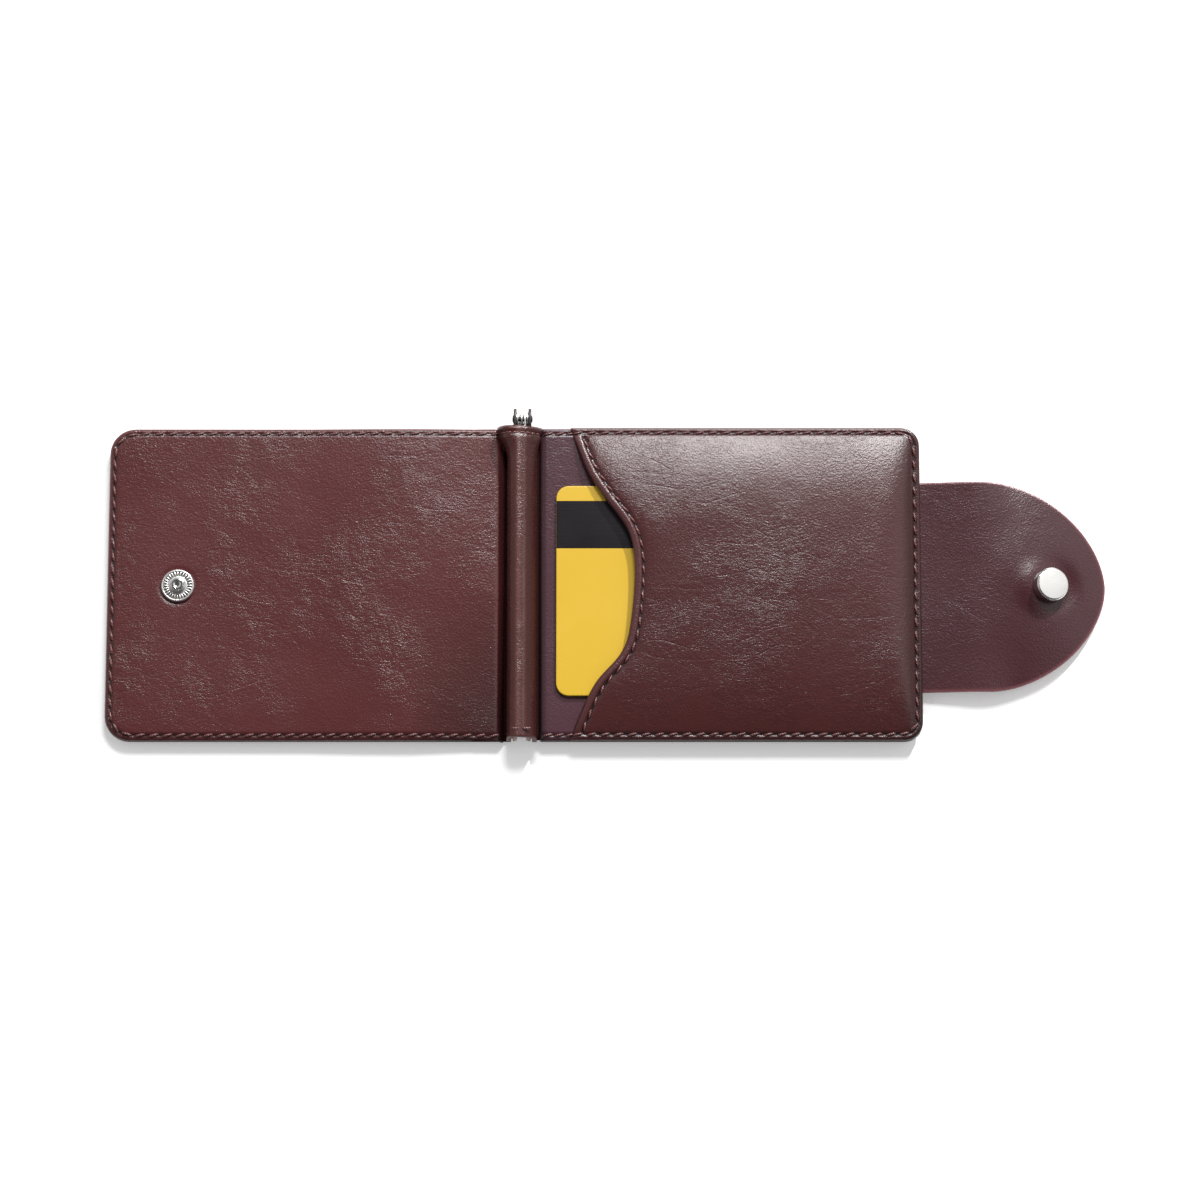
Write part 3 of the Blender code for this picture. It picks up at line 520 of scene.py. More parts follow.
def thread_material():
    material, tree = new_material("waxed_thread", Roughness=0.38, Specular_IOR_Level=0.6)
    place = add_node(tree, "TexCoord").outputs["Object"]
    slanted = {"bands_direction": "DIAGONAL"}
    twist = add_node(tree, "TexWave", setup=slanted, Vector=place, Scale=900.0, Distortion=1.5)
    twist = twist.outputs["Fac"]
    tone = mix_colours(tree, twist, (0.075, 0.020, 0.020), (0.170, 0.062, 0.060))
    feed_shader(tree, tone, height=twist, distance=0.05 * MM)
    return material


thread = thread_material()
LEATHER_THICK = 0.9 * MM
RIM_FOOT = 2.2 * MM
FOLD_FOOT = 0.55 * MM
PANEL_CELL = 2.4 * MM
EDGE_INSETS = [
    step * MM for step in (0.06, 0.2, 0.42, 0.7, 0.95, 1.2, 1.45, 1.7, 2.0, 2.25, 2.5, 2.9, 3.4)
]


# The front cover is leather over a board, folded round its edge and sewn a little way in. Its
# free corners are rounded, and its spine side runs down into the fold.
spine_low, spine_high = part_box("spine_leather")
spine_x, spine_y = (spine_low.x + spine_high.x) / 2, (spine_low.y + spine_high.y) / 2
cover_low, cover_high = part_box("cover_outer_leather")
COVER_RADIUS = 6.4 * MM
COVER_TOP = cover_high.z
EDGE_ROUND = 0.6 * MM
BORDER_LEAN = 0.28
cover_outline = panel_outline(
    cover_low.x, cover_high.x, cover_low.y, cover_high.y, COVER_RADIUS, 0.4 * MM
)
cover_arc = COVER_RADIUS - SEAM_INSET
cover_seam = (
    [(cover_high.x - 0.6 * MM, cover_high.y - SEAM_INSET)]
    + corner_arc(cover_low.x + COVER_RADIUS, cover_high.y - COVER_RADIUS, cover_arc, 1)
    + corner_arc(cover_low.x + COVER_RADIUS, cover_low.y + COVER_RADIUS, cover_arc, 2)
    + [(cover_high.x - 0.6 * MM, cover_low.y + SEAM_INSET)]
)
stud_low, stud_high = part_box("snap_stud")
stud_middle = np.array([(stud_low.x + stud_high.x) / 2, (stud_low.y + stud_high.y) / 2])
stud_radius = (stud_high.x - stud_low.x) / 2
RIDGE_INSET = 23.0 * MM
RIDGE_FALL = 0.8 * MM
RIDGE_RISE = 0.4 * MM
VALLEY_SLOPE = 3.2 * MM
VALLEY_DEPTH = 1.5 * MM
LOWER_FALL = 0.9 * MM
PUFF_FALL, PUFF_RUN = 0.22 * MM, 4.0 * MM
SEAT_DEPTH, SEAT_GAP, SEAT_WIDTH = 0.16 * MM, 0.3 * MM, 0.5 * MM
COVER_WAVES = ((0.07 * MM, 26 * MM, 1.7), (0.03 * MM, 9 * MM, 4.1))
BOARD_CLEAR = 0.15 * MM
VALLEY_FOOT = 0.95 * MM
EDGE_RUB = 0.6 * MM
board_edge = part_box("cover_board")[1]


def border_fall(edge):
    """The border outside a seam leans outwards, and its very edge is rounded."""
    return quarter_round(edge, EDGE_ROUND) + BORDER_LEAN * np.clip(SEAM_INSET - edge, 0.0, SEAM_INSET)


def cover_height(points):
    """The cover's upper face: rounded edge, sewn groove, a soft fold line and the stud's seat."""
    edge, _ = gaps_to(points, cover_outline, closed=True)
    fall = border_fall(edge) + seam_fall(points, cover_seam)
    fall = fall + PUFF_FALL * np.exp(-edge / PUFF_RUN)
    past = (points[:, 0] - (cover_high.x - RIDGE_INSET)) / RIDGE_INSET
    upper = 0.5 + 0.5 * (points[:, 1] - spine_y) / (cover_high.y - spine_y)
    fall = fall + RIDGE_FALL * (0.35 + 0.65 * upper) * np.where(past > 0, np.clip(past, 0, 1) ** 1.3, 0.0)
    fall = fall + RIDGE_RISE * np.clip(-past - 0.1, 0.0, 1.0) ** 2
    fall = fall + LOWER_FALL * np.clip(past, 0.0, 1.0) * np.clip(1 - 2 * upper, 0.0, 1.0) ** 1.5
    to_valley = np.clip(1 - (cover_high.x - points[:, 0]) / VALLEY_SLOPE, 0.0, 1.0)
    fall = fall + VALLEY_DEPTH * to_valley**3.3
    from_stud = np.linalg.norm(points - stud_middle, axis=1)
    fall = fall + SEAT_DEPTH * bell(from_stud - stud_radius - SEAT_GAP, SEAT_WIDTH)
    for wave in COVER_WAVES:
        fall = fall - waves(points, *wave)
    beyond = points[:, 0] - board_edge.x
    over_board = (beyond < BOARD_CLEAR) & (beyond > -2 * VALLEY_SLOPE)
    lowest = np.where(over_board, board_edge.z + BOARD_CLEAR, VALLEY_FOOT)
    return np.maximum(COVER_TOP + RIDGE_RISE - fall, lowest)


def seam_shade(points, path):
    """Painted shade along a sewn groove, as a share below nought."""
    return 0.95 * bell(gaps_to(points, path)[0], SHADE_WIDTH)


def edge_wear_and_painted_light(points, outline):
    """Edges are lighter from wear; painted highlight makes the upper ones lighter still, and painted
    shade darkens the lower ones.
    """
    edge, _ = gaps_to(points, outline, closed=True)
    rise = np.clip(1.2 * (points[:, 1] - spine_y) / (cover_high.y - spine_y), -1.0, 1.0)
    return np.where(rise > 0, 0.15 + 0.25 * rise, 0.15 + 0.75 * rise) * bell(edge, EDGE_RUB)


def cover_wear_and_painted_light(points):
    """Edge wear and painted light, with painted shade in the sewn groove and in the lower corner by the
    fold.
    """
    past = np.clip((points[:, 0] - (cover_high.x - RIDGE_INSET)) / RIDGE_INSET, 0.0, 1.0)
    lower = np.clip(-1.2 * (points[:, 1] - spine_y) / (cover_high.y - spine_y), 0.0, 1.0)
    painted_lower_shade = 0.68 * np.sqrt(past) * lower
    return edge_wear_and_painted_light(points, cover_outline) - np.maximum(seam_shade(points, cover_seam), painted_lower_shade)


sheet = ringed_sheet(cover_outline, EDGE_INSETS, PANEL_CELL)
seat = [
    edge for edge in sheet.edges
    if all((vert.co.xy - Vector(stud_middle)).length < 2 * stud_radius for vert in edge.verts)
]
bmesh.ops.subdivide_edges(sheet, edges=seat, cuts=6, use_grid_fill=True)
set_heights(sheet, cover_height, cover_wear_and_painted_light)
drop_rim(sheet, lambda spot: FOLD_FOOT if spot.x > cover_high.x - 0.3 * MM else RIM_FOOT)
cover = thicken(add_piece("cover_leather", sheet, hide), LEATHER_THICK)
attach(cover, "front_cover")
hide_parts("cover_outer_leather")
cover_stitches = sew("cover_stitches", cover_seam, cover_height)
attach(cover_stitches, "front_cover")


# The back panel is made as the cover is. It carries the outer card pocket, whose S-shaped mouth
# has a folded edge with a row of stitches beside it.
back_low, back_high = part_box("back_outer_leather")
BACK_RADIUS = 4.6 * MM
back_outline = panel_outline(
    back_low.x, back_high.x, back_low.y, back_high.y, 0.4 * MM, BACK_RADIUS
)
pocket_low, pocket_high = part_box("pocket_front")
BASE_TOP = back_high.z
BASE_CELL = 2.6 * MM
BASE_PUFF, BASE_PUFF_RUN = 0.05 * MM, 3.0 * MM
BASE_WAVE = (0.03 * MM, 14 * MM, 8.2)
BORDER_SHARE = 0.75
FOLD_SHADE = 1.3 * MM
STRAP_GATE, STRAP_ROOM = 28 * MM, 0.9 * MM
base_seam_end = pocket_low.x + 1.5 * MM
base_seams = [
    [(back_low.x + 0.6 * MM, side), (base_seam_end, side)]
    for side in (back_high.y - SEAM_INSET, back_low.y + SEAM_INSET)
]


def base_height(points):
    edge, _ = gaps_to(points, back_outline, closed=True)
    fall = BORDER_SHARE * border_fall(edge) + BASE_PUFF * np.exp(-edge / BASE_PUFF_RUN)
    for seam_path in base_seams:
        fall = fall + seam_fall(points, seam_path)
    return BASE_TOP - fall - BASE_WAVE[0] - waves(points, *BASE_WAVE)


def base_wear_and_painted_light(points):
    # Painted shade in the sewn grooves and along the fold beside the roll.
    seams = sum(seam_shade(points, seam_path) for seam_path in base_seams)
    painted_fold_shade = 0.8 * bell(points[:, 0] - back_low.x, FOLD_SHADE)
    return edge_wear_and_painted_light(points, back_outline) - seams - painted_fold_shade


def back_foot(spot):
    """The rim reaches down to the lining, except at the fold and over the strap's root."""
    if spot.x < back_low.x + 0.3 * MM:
        return FOLD_FOOT
    over_strap = spot.x > back_high.x - 0.2 * MM and abs(spot.y - spine_y) < STRAP_GATE
    return RIM_FOOT + STRAP_ROOM if over_strap else RIM_FOOT


base_hide = leather(
    "base_hide", (0.074, 0.025, 0.036), (0.055, 0.018, 0.027), rough=0.30, relief=0.06 * MM
)
sheet = ringed_sheet(back_outline, EDGE_INSETS, BASE_CELL)
set_heights(sheet, base_height, base_wear_and_painted_light)
drop_rim(sheet, back_foot)
back = thicken(add_piece("back_leather", sheet, base_hide), LEATHER_THICK)
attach(back, "back_panel")
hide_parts("back_outer_leather")
for side, seam_path in zip(("upper", "lower"), base_seams):
    row = sew(f"base_stitches_{side}", seam_path, base_height)
    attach(row, "back_panel")

POCKET_TOP = pocket_high.z
CARD_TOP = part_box("card")[1].z
MOUTH_START = pocket_low.x
MOUTH_BULGE = 16.2 * MM
MOUTH_SHARES = (
    (0.0, 0.0), (0.08, 0.15), (0.18, 0.40), (0.27, 0.78), (0.36, 0.93),
    (0.54, 1.0), (0.66, 0.90), (0.77, 0.53), (0.86, 0.26), (1.0, 0.0),
)


def smooth_through(knots, steps=8):
    """Points of a curve that passes through the knots."""
    padded = [knots[0], *knots, knots[-1]]
    spots = []
    for a, b, c, d in zip(padded, padded[1:], padded[2:], padded[3:]):
        for step in range(steps):
            t = step / steps
            spots.append(tuple(
                (2 * q + (r - p) * t + (2 * p - 5 * q + 4 * r - s) * t * t
                 + (3 * q - p - 3 * r + s) * t**3) / 2
                for p, q, r, s in zip(a, b, c, d)
            ))
    return [*spots, tuple(knots[-1])]


mouth = smooth_through([
    (MOUTH_START + bulge * MOUTH_BULGE, pocket_low.y + rise * (pocket_high.y - pocket_low.y))
    for rise, bulge in MOUTH_SHARES
])
pocket_corners = (
    mouth[::-1]
    + corner_arc(pocket_high.x - BACK_RADIUS, pocket_low.y + BACK_RADIUS, BACK_RADIUS, 3)
    + corner_arc(pocket_high.x - BACK_RADIUS, pocket_high.y - BACK_RADIUS, BACK_RADIUS, 0)
)
pocket_outline = [tuple(spot) for spot, _ in even_path(pocket_corners, OUTLINE_STEP, closed=True)]
MOUTH_SEAM = 2.3 * MM
back_arc = BACK_RADIUS - SEAM_INSET
pocket_seam = (
    [(pocket_low.x + 0.3 * MM, pocket_low.y + SEAM_INSET)]
    + corner_arc(pocket_high.x - BACK_RADIUS, pocket_low.y + BACK_RADIUS, back_arc, 3)
    + corner_arc(pocket_high.x - BACK_RADIUS, pocket_high.y - BACK_RADIUS, back_arc, 0)
    + [(pocket_low.x + 0.3 * MM, pocket_high.y - SEAM_INSET)]
)


def beside(path, distance):
    """The path moved sideways, to the right of its way."""
    spots = [Vector(spot) for spot in path]
    moved = []
    for before, here, after in zip([spots[0], *spots], spots, [*spots[1:], spots[-1]]):
        way = (after - before).normalized()
        moved.append(here + Vector((way.y, -way.x)) * distance)
    return moved


mouth_seam = [
    spot for spot in beside(mouth, MOUTH_SEAM)
    if pocket_low.y + SEAM_INSET * 1.3 < spot.y < pocket_high.y - SEAM_INSET * 1.3
]
POCKET_CROWN = 1.75 * MM
POCKET_FALL = 2.95 * MM
SIDE_SLOPE, END_SLOPE = 12.0 * MM, 3.4 * MM
BORDER_RISE = 0.95 * MM
FOLD_RISE, FOLD_RUN = 0.34 * MM, 3.0 * MM
DIP_FALL, DIP_WIDTH = 0.25 * MM, 1.8 * MM
POCKET_WAVES = ((0.10 * MM, 24 * MM, 3.3), (0.035 * MM, 8 * MM, 6.4))
LIP_HIGHLIGHT, END_SHADE = 0.8 * MM, 3.2 * MM
POCKET_THICK = 0.75 * MM
MOUTH_EDGE, MOUTH_FOLD = 1.3 * MM, 0.35 * MM


def pocket_height(points):
    """The pocket's face: puffed, with a folded mouth edge and its sewn grooves."""
    edge, _ = gaps_to(points, pocket_outline, closed=True)
    lip, _ = gaps_to(points, mouth)
    rim, _ = gaps_to(points, pocket_seam)
    sewn = seam_fall(points, pocket_seam) + seam_fall(points, mouth_seam)
    to_side = np.minimum(pocket_high.y - points[:, 1], points[:, 1] - pocket_low.y) - SEAM_INSET
    to_end = pocket_high.x - points[:, 0] - SEAM_INSET
    at_side, at_end = np.exp(-to_side.clip(0.0) / SIDE_SLOPE), np.exp(-to_end.clip(0.0) / END_SLOPE)
    fall = POCKET_FALL * (at_side**4 + at_end**4) ** 0.25
    folded = np.clip(1 - ((lip - MOUTH_SEAM / 2) / (MOUTH_SEAM / 2)) ** 2, 0.0, 1.0)
    fall = fall - FOLD_RISE * folded * np.clip(rim / FOLD_RUN, 0.0, 1.0)
    fall = fall + DIP_FALL * bell(lip - MOUTH_SEAM, DIP_WIDTH)
    for wave in POCKET_WAVES:
        fall = fall - waves(points, *wave)
    top = np.maximum(POCKET_TOP + POCKET_CROWN - fall, BASE_TOP + BORDER_RISE)
    return top - BORDER_SHARE * border_fall(edge) - sewn


def pocket_wear_and_painted_light(points):
    """Painted highlight lightens the mouth's folded edge, and painted shade darkens the sewn grooves and
    the slope beside the end seam.
    """
    lip, _ = gaps_to(points, mouth)
    # Edge wear with painted light, and a painted highlight along the folded mouth edge.
    lightened = edge_wear_and_painted_light(points, pocket_outline) + 0.30 * bell(lip - MM, LIP_HIGHLIGHT)
    # Painted shade on the slope beside the end seam.
    beside_end = 0.55 * bell(pocket_high.x - SEAM_INSET - points[:, 0], END_SHADE)
    dark = np.maximum(seam_shade(points, pocket_seam), beside_end) + seam_shade(points, mouth_seam)
    return lightened - dark


def pocket_foot(spot):
    """The rim stands on the panel, and the mouth stays clear of the card."""
    lip, _ = gaps_to(np.array([[spot.x, spot.y]]), mouth)
    near_mouth = lip[0] < 0.05 * MM and pocket_low.y + MM < spot.y < pocket_high.y - MM
    lip_foot = min(spot.z - MOUTH_FOLD, max(CARD_TOP + 0.15 * MM, spot.z - MOUTH_EDGE))
    return lip_foot if near_mouth else BASE_TOP + 0.02 * MM


pocket_hide = leather(
    "pocket_hide", (0.066, 0.014, 0.015), (0.050, 0.0105, 0.011), rough=0.27, creases=0.9
)
sheet = ringed_sheet(pocket_outline, EDGE_INSETS, PANEL_CELL)
set_heights(sheet, pocket_height, pocket_wear_and_painted_light)
drop_rim(sheet, pocket_foot)
pocket = thicken(add_piece("pocket_leather", sheet, pocket_hide), POCKET_THICK)
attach(pocket, "back_panel")
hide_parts("pocket_front")
for name, path in (("pocket_stitches", pocket_seam), ("mouth_stitches", mouth_seam)):
    row = sew(name, path, pocket_height)
    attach(row, "back_panel")


# The roll is leather wrapped over the clip's steel channel. It is plain along its length, spreads
# over the seam at the hinge end, and ends in two stitches and its raw lips at the other.
joints = {joint["name"]: joint for joint in frame["joints"]}
ROLL_RADIUS = 3.8 * MM
ROLL_CENTRE_Z = spine_high.z - ROLL_RADIUS
ROLL_WALL = 1.15 * MM
ROLL_LEAN = 0.28
ROLL_FOOT = 0.8 * MM
ROLL_OVERHANG = 0.1 * MM
ROLL_DENT, DENT_LENGTH = 0.06 * MM, 6.0 * MM
CREASE_SIDE, CREASE_RISE, CREASE_WIDTH = 1.2 * MM, 0.05 * MM, 0.4 * MM
END_FALL, END_ROUND = 0.9 * MM, 1.0 * MM
FLARE_LENGTH = 9.0 * MM
FLARE_SPREADS = (2.7 * MM, 1.2 * MM)
FLARE_LIFT = 3.1 * MM
CROWN_SEAM = spine_high.y - 1.9 * MM
CROWN_DIP, CROWN_DIP_WIDTH = 0.32 * MM, 0.6 * MM
CROWN_COUNT = 7
CLOSING_SIDE, CLOSING_INSET, CLOSING_SINK = 1.4 * MM, 2.1 * MM, 0.10 * MM
CLOSING_HALF, CLOSING_RADIUS = 1.05 * MM, 0.36 * MM
HIGHLIGHT_SIDE, HIGHLIGHT_WIDTH = 0.92 * MM, 0.62 * MM
THIN_HIGHLIGHT_SIDE, THIN_HIGHLIGHT_WIDTH = 0.5 * MM, 0.26 * MM
ROLL_SHADE_SIDE, ROLL_SHADE_WIDTH = 3.2 * MM, 1.5 * MM
PATCH_LENGTH = 3.0 * MM
ROLL_STATIONS, ROLL_STEPS = 150, 72


def flare_at(y):
    """How far the roll has spread at a place along it, from 0 to 1."""
    share = min(1.0, max(0.0, (y - spine_high.y + FLARE_LENGTH) / FLARE_LENGTH))
    return share * share * (3 - 2 * share)


def roll_point(y, share):
    """A point of the roll's outer face, from its left foot to its right."""
    flare = flare_at(y)
    half = ROLL_RADIUS + FLARE_SPREADS[share > 0.5] * flare**1.5 * min(1.0, abs(share - 0.5) * 6)
    foot = spine_low.z + ROLL_FOOT + FLARE_LIFT * flare
    wall = ROLL_CENTRE_Z - foot
    arc = math.pi * ROLL_RADIUS
    travel = share * (2 * wall + arc)
    if travel < wall:
        side, height = -1.0, foot + travel
    elif travel > wall + arc:
        side, height = 1.0, foot + 2 * wall + arc - travel
    else:
        angle = math.pi - (travel - wall) / ROLL_RADIUS
        side = math.cos(angle)
        height = ROLL_CENTRE_Z + ROLL_RADIUS * math.sin(angle) - ROLL_LEAN * side * half * math.sin(angle)
        height += CREASE_RISE * bell(side * half - CREASE_SIDE, CREASE_WIDTH)
    rim = max(0.0, y - spine_high.y + END_FALL)
    height -= END_FALL * (1 - math.sqrt(max(0.0, 1 - (rim / END_ROUND) ** 2)))
    dent = ROLL_DENT * noise.noise(Vector((share * 5.0, y / DENT_LENGTH, 2.2)))
    seam = CROWN_DIP * bell(y - CROWN_SEAM, CROWN_DIP_WIDTH) * (flare > 0.5)
    down = 0.0 if height < ROLL_CENTRE_Z else -math.sqrt(max(0.0, 1 - side * side))
    return Vector((spine_x + side * half, y, height)) + Vector((-side, 0.0, down)) * (dent + seam)


def make_roll():
    """The roll, with painted highlight along two lines of its crown, lighter cut ends, and painted shade
    down its right side.
    """
    shape = bmesh.new()
    bmesh.ops.create_grid(shape, x_segments=ROLL_STEPS, y_segments=ROLL_STATIONS, size=1.0)
    wear = shape.verts.layers.float.new(WEAR_AND_PAINTED_LIGHT_MARK)
    length = spine_high.y + ROLL_OVERHANG - spine_low.y
    for vert in shape.verts:
        share, along = (vert.co.x + 1) / 2, (vert.co.y + 1) / 2
        y = spine_low.y + length * along
        vert.co = roll_point(y, share)
        ends = 0.8 * bell(y - spine_low.y, 0.35 * MM) + 0.35 * bell(y - spine_high.y, 0.5 * MM)
        aside = vert.co.x - spine_x
        patchy = 0.7 + 0.6 * noise.noise(Vector((y / PATCH_LENGTH, 0.4, 7.0)))
        # Painted highlight along two lines of the crown, and painted shade down the right side.
        wear_and_highlight = 0.95 * bell(aside + HIGHLIGHT_SIDE, HIGHLIGHT_WIDTH) * (0.6 + 0.4 * patchy)
        wear_and_highlight += 0.75 * bell(aside - THIN_HIGHLIGHT_SIDE, THIN_HIGHLIGHT_WIDTH) * patchy
        shaded = 0.35 * bell(aside - ROLL_SHADE_SIDE, ROLL_SHADE_WIDTH)
        vert[wear] = ends + wear_and_highlight * (vert.co.z > ROLL_CENTRE_Z) - shaded
    face_up(shape)
    return thicken(add_piece("roll_leather", shape, roll_hide), ROLL_WALL)


roll_hide = leather(
    "roll_hide", (0.058, 0.011, 0.009), (0.044, 0.008, 0.007), rough=0.27, relief=0.14 * MM
)
roll = make_roll()
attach(roll, "spine")
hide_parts("spine_leather")


def roll_stitch(shape, middle, way, half, radius):
    """One stitch over the roll, along its way."""
    turn = way.to_track_quat("X", "Z").to_matrix().to_4x4()
    add_thread(shape, Matrix.Translation(middle) @ turn, half, radius, 10, 8)


def crown_stitches():
    """Two stitches close the roll's lower end, and a row crosses its crown at the hinge end."""
    shape = bmesh.new()
    for side in (-1.0, 1.0):
        middle = Vector((
            spine_x + side * CLOSING_SIDE, spine_low.y + CLOSING_INSET, spine_high.z - CLOSING_SINK,
        ))
        way = Vector((1.0, 0.12 * side, -0.16 * side))
        roll_stitch(shape, middle, way, CLOSING_HALF, CLOSING_RADIUS)
    spots = [roll_point(CROWN_SEAM, 0.17 + 0.66 * step / CROWN_COUNT) for step in range(CROWN_COUNT + 1)]
    for here, there in zip(spots, spots[1:]):
        roll_stitch(shape, (here + there) / 2, there - here, 0.42 * (there - here).length, THREAD_RADIUS)
    return add_piece("roll_stitches", shape, thread)


roll_threads = crown_stitches()
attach(roll_threads, "spine")
LIP_WIDTH, LIP_THICK, LIP_LENGTH = 2.5 * MM, 0.45 * MM, 1.6 * MM
LIP_SIDE, LIP_HEIGHT, LIP_INSET = 2.35 * MM, 2.5 * MM, 0.15 * MM
LIP_STEPS = 22


def curled_lip(side):
    """The raw end of the roll's wall, which curls in towards the channel's mouth."""
    shape = bmesh.new()
    row = []
    for step in range(LIP_STEPS + 1):
        angle = math.radians(-40 + 290 * step / LIP_STEPS)
        reach = LIP_WIDTH * (0.5 - 0.14 * step / LIP_STEPS)
        x = spine_x + side * LIP_SIDE + side * reach * math.cos(angle)
        z = spine_low.z + LIP_HEIGHT + 1.5 * reach * math.sin(angle)
        row.append(shape.verts.new((x, spine_low.y + LIP_INSET, z)))
    draw_out(shape, [shape.edges.new(pair) for pair in zip(row, row[1:])], LIP_LENGTH)
    name = f"roll_lip_{'left' if side < 0 else 'right'}"
    return thicken(add_piece(name, shape, raw_edge), LIP_THICK, offset=0.0)


raw_edge = mottled(
    "raw_edge", (0.30, 0.17, 0.16), (0.62, 0.50, 0.48), 2600.0, 4.0, 0.08 * MM, Roughness=0.75
)
for side in (-1.0, 1.0):
    lip = curled_lip(side)
    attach(lip, "spine")


# Thin leather joins the roll to each panel at the bottom of a valley, where the wallet folds.
VALLEY_REACH = 0.85 * MM
# The valley leather is coloured near black: painted shade in the valleys beside the roll.
shaded_valley_hide = leather("shaded_valley_hide", (0.020, 0.006, 0.005), (0.014, 0.004, 0.004), rough=0.8, creases=0.5)
shaded_valley_hide.node_tree.nodes["Principled BSDF"].inputs["Specular IOR Level"].default_value = 0.08


def make_valley(name, axis_x, top):
    shape = bmesh.new()
    bmesh.ops.create_grid(shape, x_segments=10, y_segments=60, size=1.0)
    low, high = spine_low.y + 0.2 * MM, spine_high.y - 0.2 * MM
    for vert in shape.verts:
        across, along = vert.co.x, (vert.co.y + 1) / 2
        vert.co.x = axis_x + across * VALLEY_REACH
        vert.co.y = low + (high - low) * along
        vert.co.z = top - 0.35 * MM * (1 - across * across)
    return thicken(add_piece(name, shape, shaded_valley_hide), 0.5 * MM)


for name, joint, left, right, top in (
    ("cover_valley", "cover_fold", "front_cover", "spine", 1.3 * MM),
    ("back_valley", "spine_fold", "spine", "back_panel", 3.3 * MM),
):
    axis_x = joints[joint]["pos_m"][0]
    valley = make_valley(name, axis_x, top)
    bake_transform(valley)


# The strap is one band of firm leather with cut edges. It comes out of the panel's seam, crosses
# the closed wallet's edge and droops to the table at its rounded end and along its sides.
fold, bend = (Vector(joints[name]["pos_m"]) for name in ("strap_fold", "strap_bend"))
tongue_low, tongue_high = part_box("strap_tongue")
STRAP_THICK = 1.4 * MM
STRAP_HALF = (tongue_high.y - tongue_low.y) / 2
STRAP_MIDDLE = (tongue_high.y + tongue_low.y) / 2
STRAP_ROOT = 4.0 * MM
STRAP_EDGE = 0.4 * MM
TONGUE_STRAIGHT = 4.3 * MM
TONGUE_POWER = 1.8
SIDE_DROOP = 1.5 * MM
SIDE_DROOP_RUN = 13.0 * MM
STRAP_CELL = 1.6 * MM
PRESS_FLAT, PRESS_RUN = 4.2 * MM, 4.5 * MM
STRAP_WAVE = 0.16 * MM
CUT_SHARE = 0.5
strap_rise = (bend.z - fold.z) / (bend.x - fold.x)
tongue_length = tongue_high.x - bend.x
tongue_fall = bend.z - tongue_low.z + tongue_length * strap_rise
CAP_LEAN = math.radians(9.0)
snap_spot = Vector((111.04 * MM, STRAP_MIDDLE, 3.5 * MM))


def strap_under(x, y):
    """Height of the strap's under face."""
    run = max(0.0, x - bend.x)
    aside = (y - STRAP_MIDDLE) / STRAP_HALF
    side_share = (1 - math.cos(math.pi * min(1.0, run / SIDE_DROOP_RUN))) / 2
    fall = tongue_fall * (run / tongue_length) ** TONGUE_POWER + SIDE_DROOP * side_share * aside**2
    height = fold.z + max(0.0, x - fold.x) * strap_rise - fall
    from_snap = math.hypot(x - snap_spot.x, y - snap_spot.y)
    press = max(0.0, min(1.0, 1 - (from_snap - PRESS_FLAT) / PRESS_RUN))
    press = press * press * (3 - 2 * press)
    height -= press * (x - snap_spot.x) * math.tan(CAP_LEAN)
    wave = noise.noise(Vector((x / (16 * MM), y / (12 * MM), 5.5)))
    return height + STRAP_WAVE * wave * min(1.0, run / (6 * MM))


def strap_outline():
    """The strap from above: straight sides, then one long round end."""
    left, straight = fold.x - STRAP_ROOT, bend.x + TONGUE_STRAIGHT
    taper = tongue_high.x - straight
    spots = [(left, STRAP_MIDDLE - STRAP_HALF), (straight, STRAP_MIDDLE - STRAP_HALF)]
    steps = 48
    for step in range(1, steps):
        angle = math.pi * (step / steps - 0.5)
        along = math.cos(angle) ** (2 / TONGUE_POWER)
        across = math.copysign(abs(math.sin(angle)) ** (2 / TONGUE_POWER), math.sin(angle))
        spots.append((straight + taper * along, STRAP_MIDDLE + STRAP_HALF * across))
    spots += [(straight, STRAP_MIDDLE + STRAP_HALF), (left, STRAP_MIDDLE + STRAP_HALF)]
    return [tuple(spot) for spot, _ in even_path(spots, 0.8 * MM, closed=True)]


def slab(outline, insets, cell, thickness, roundness):
    """A closed flat slab with rounded edges, midway about its own plane, with its rim worn."""
    shape = ringed_sheet(outline, insets, cell)
    wear = shape.verts.layers.float.new(WEAR_AND_PAINTED_LIGHT_MARK)
    points = np.array([vert.co[:2] for vert in shape.verts])
    edge, _ = gaps_to(points, outline, closed=True)
    for vert, gap, fall in zip(shape.verts, edge, quarter_round(edge, roundness)):
        vert.co.z = thickness / 2 - fall
        vert[wear] = math.exp(-((gap / roundness) ** 2))
    under = bmesh.ops.duplicate(shape, geom=shape.verts[:] + shape.edges[:] + shape.faces[:])["geom"]
    under_faces = [item for item in under if isinstance(item, bmesh.types.BMFace)]
    for item in under:
        if isinstance(item, bmesh.types.BMVert):
            item.co.z = -item.co.z
    bmesh.ops.reverse_faces(shape, faces=under_faces)
    rims = [edge for edge in shape.edges if edge.is_boundary]
    bmesh.ops.bridge_loops(shape, edges=rims)
    return shape


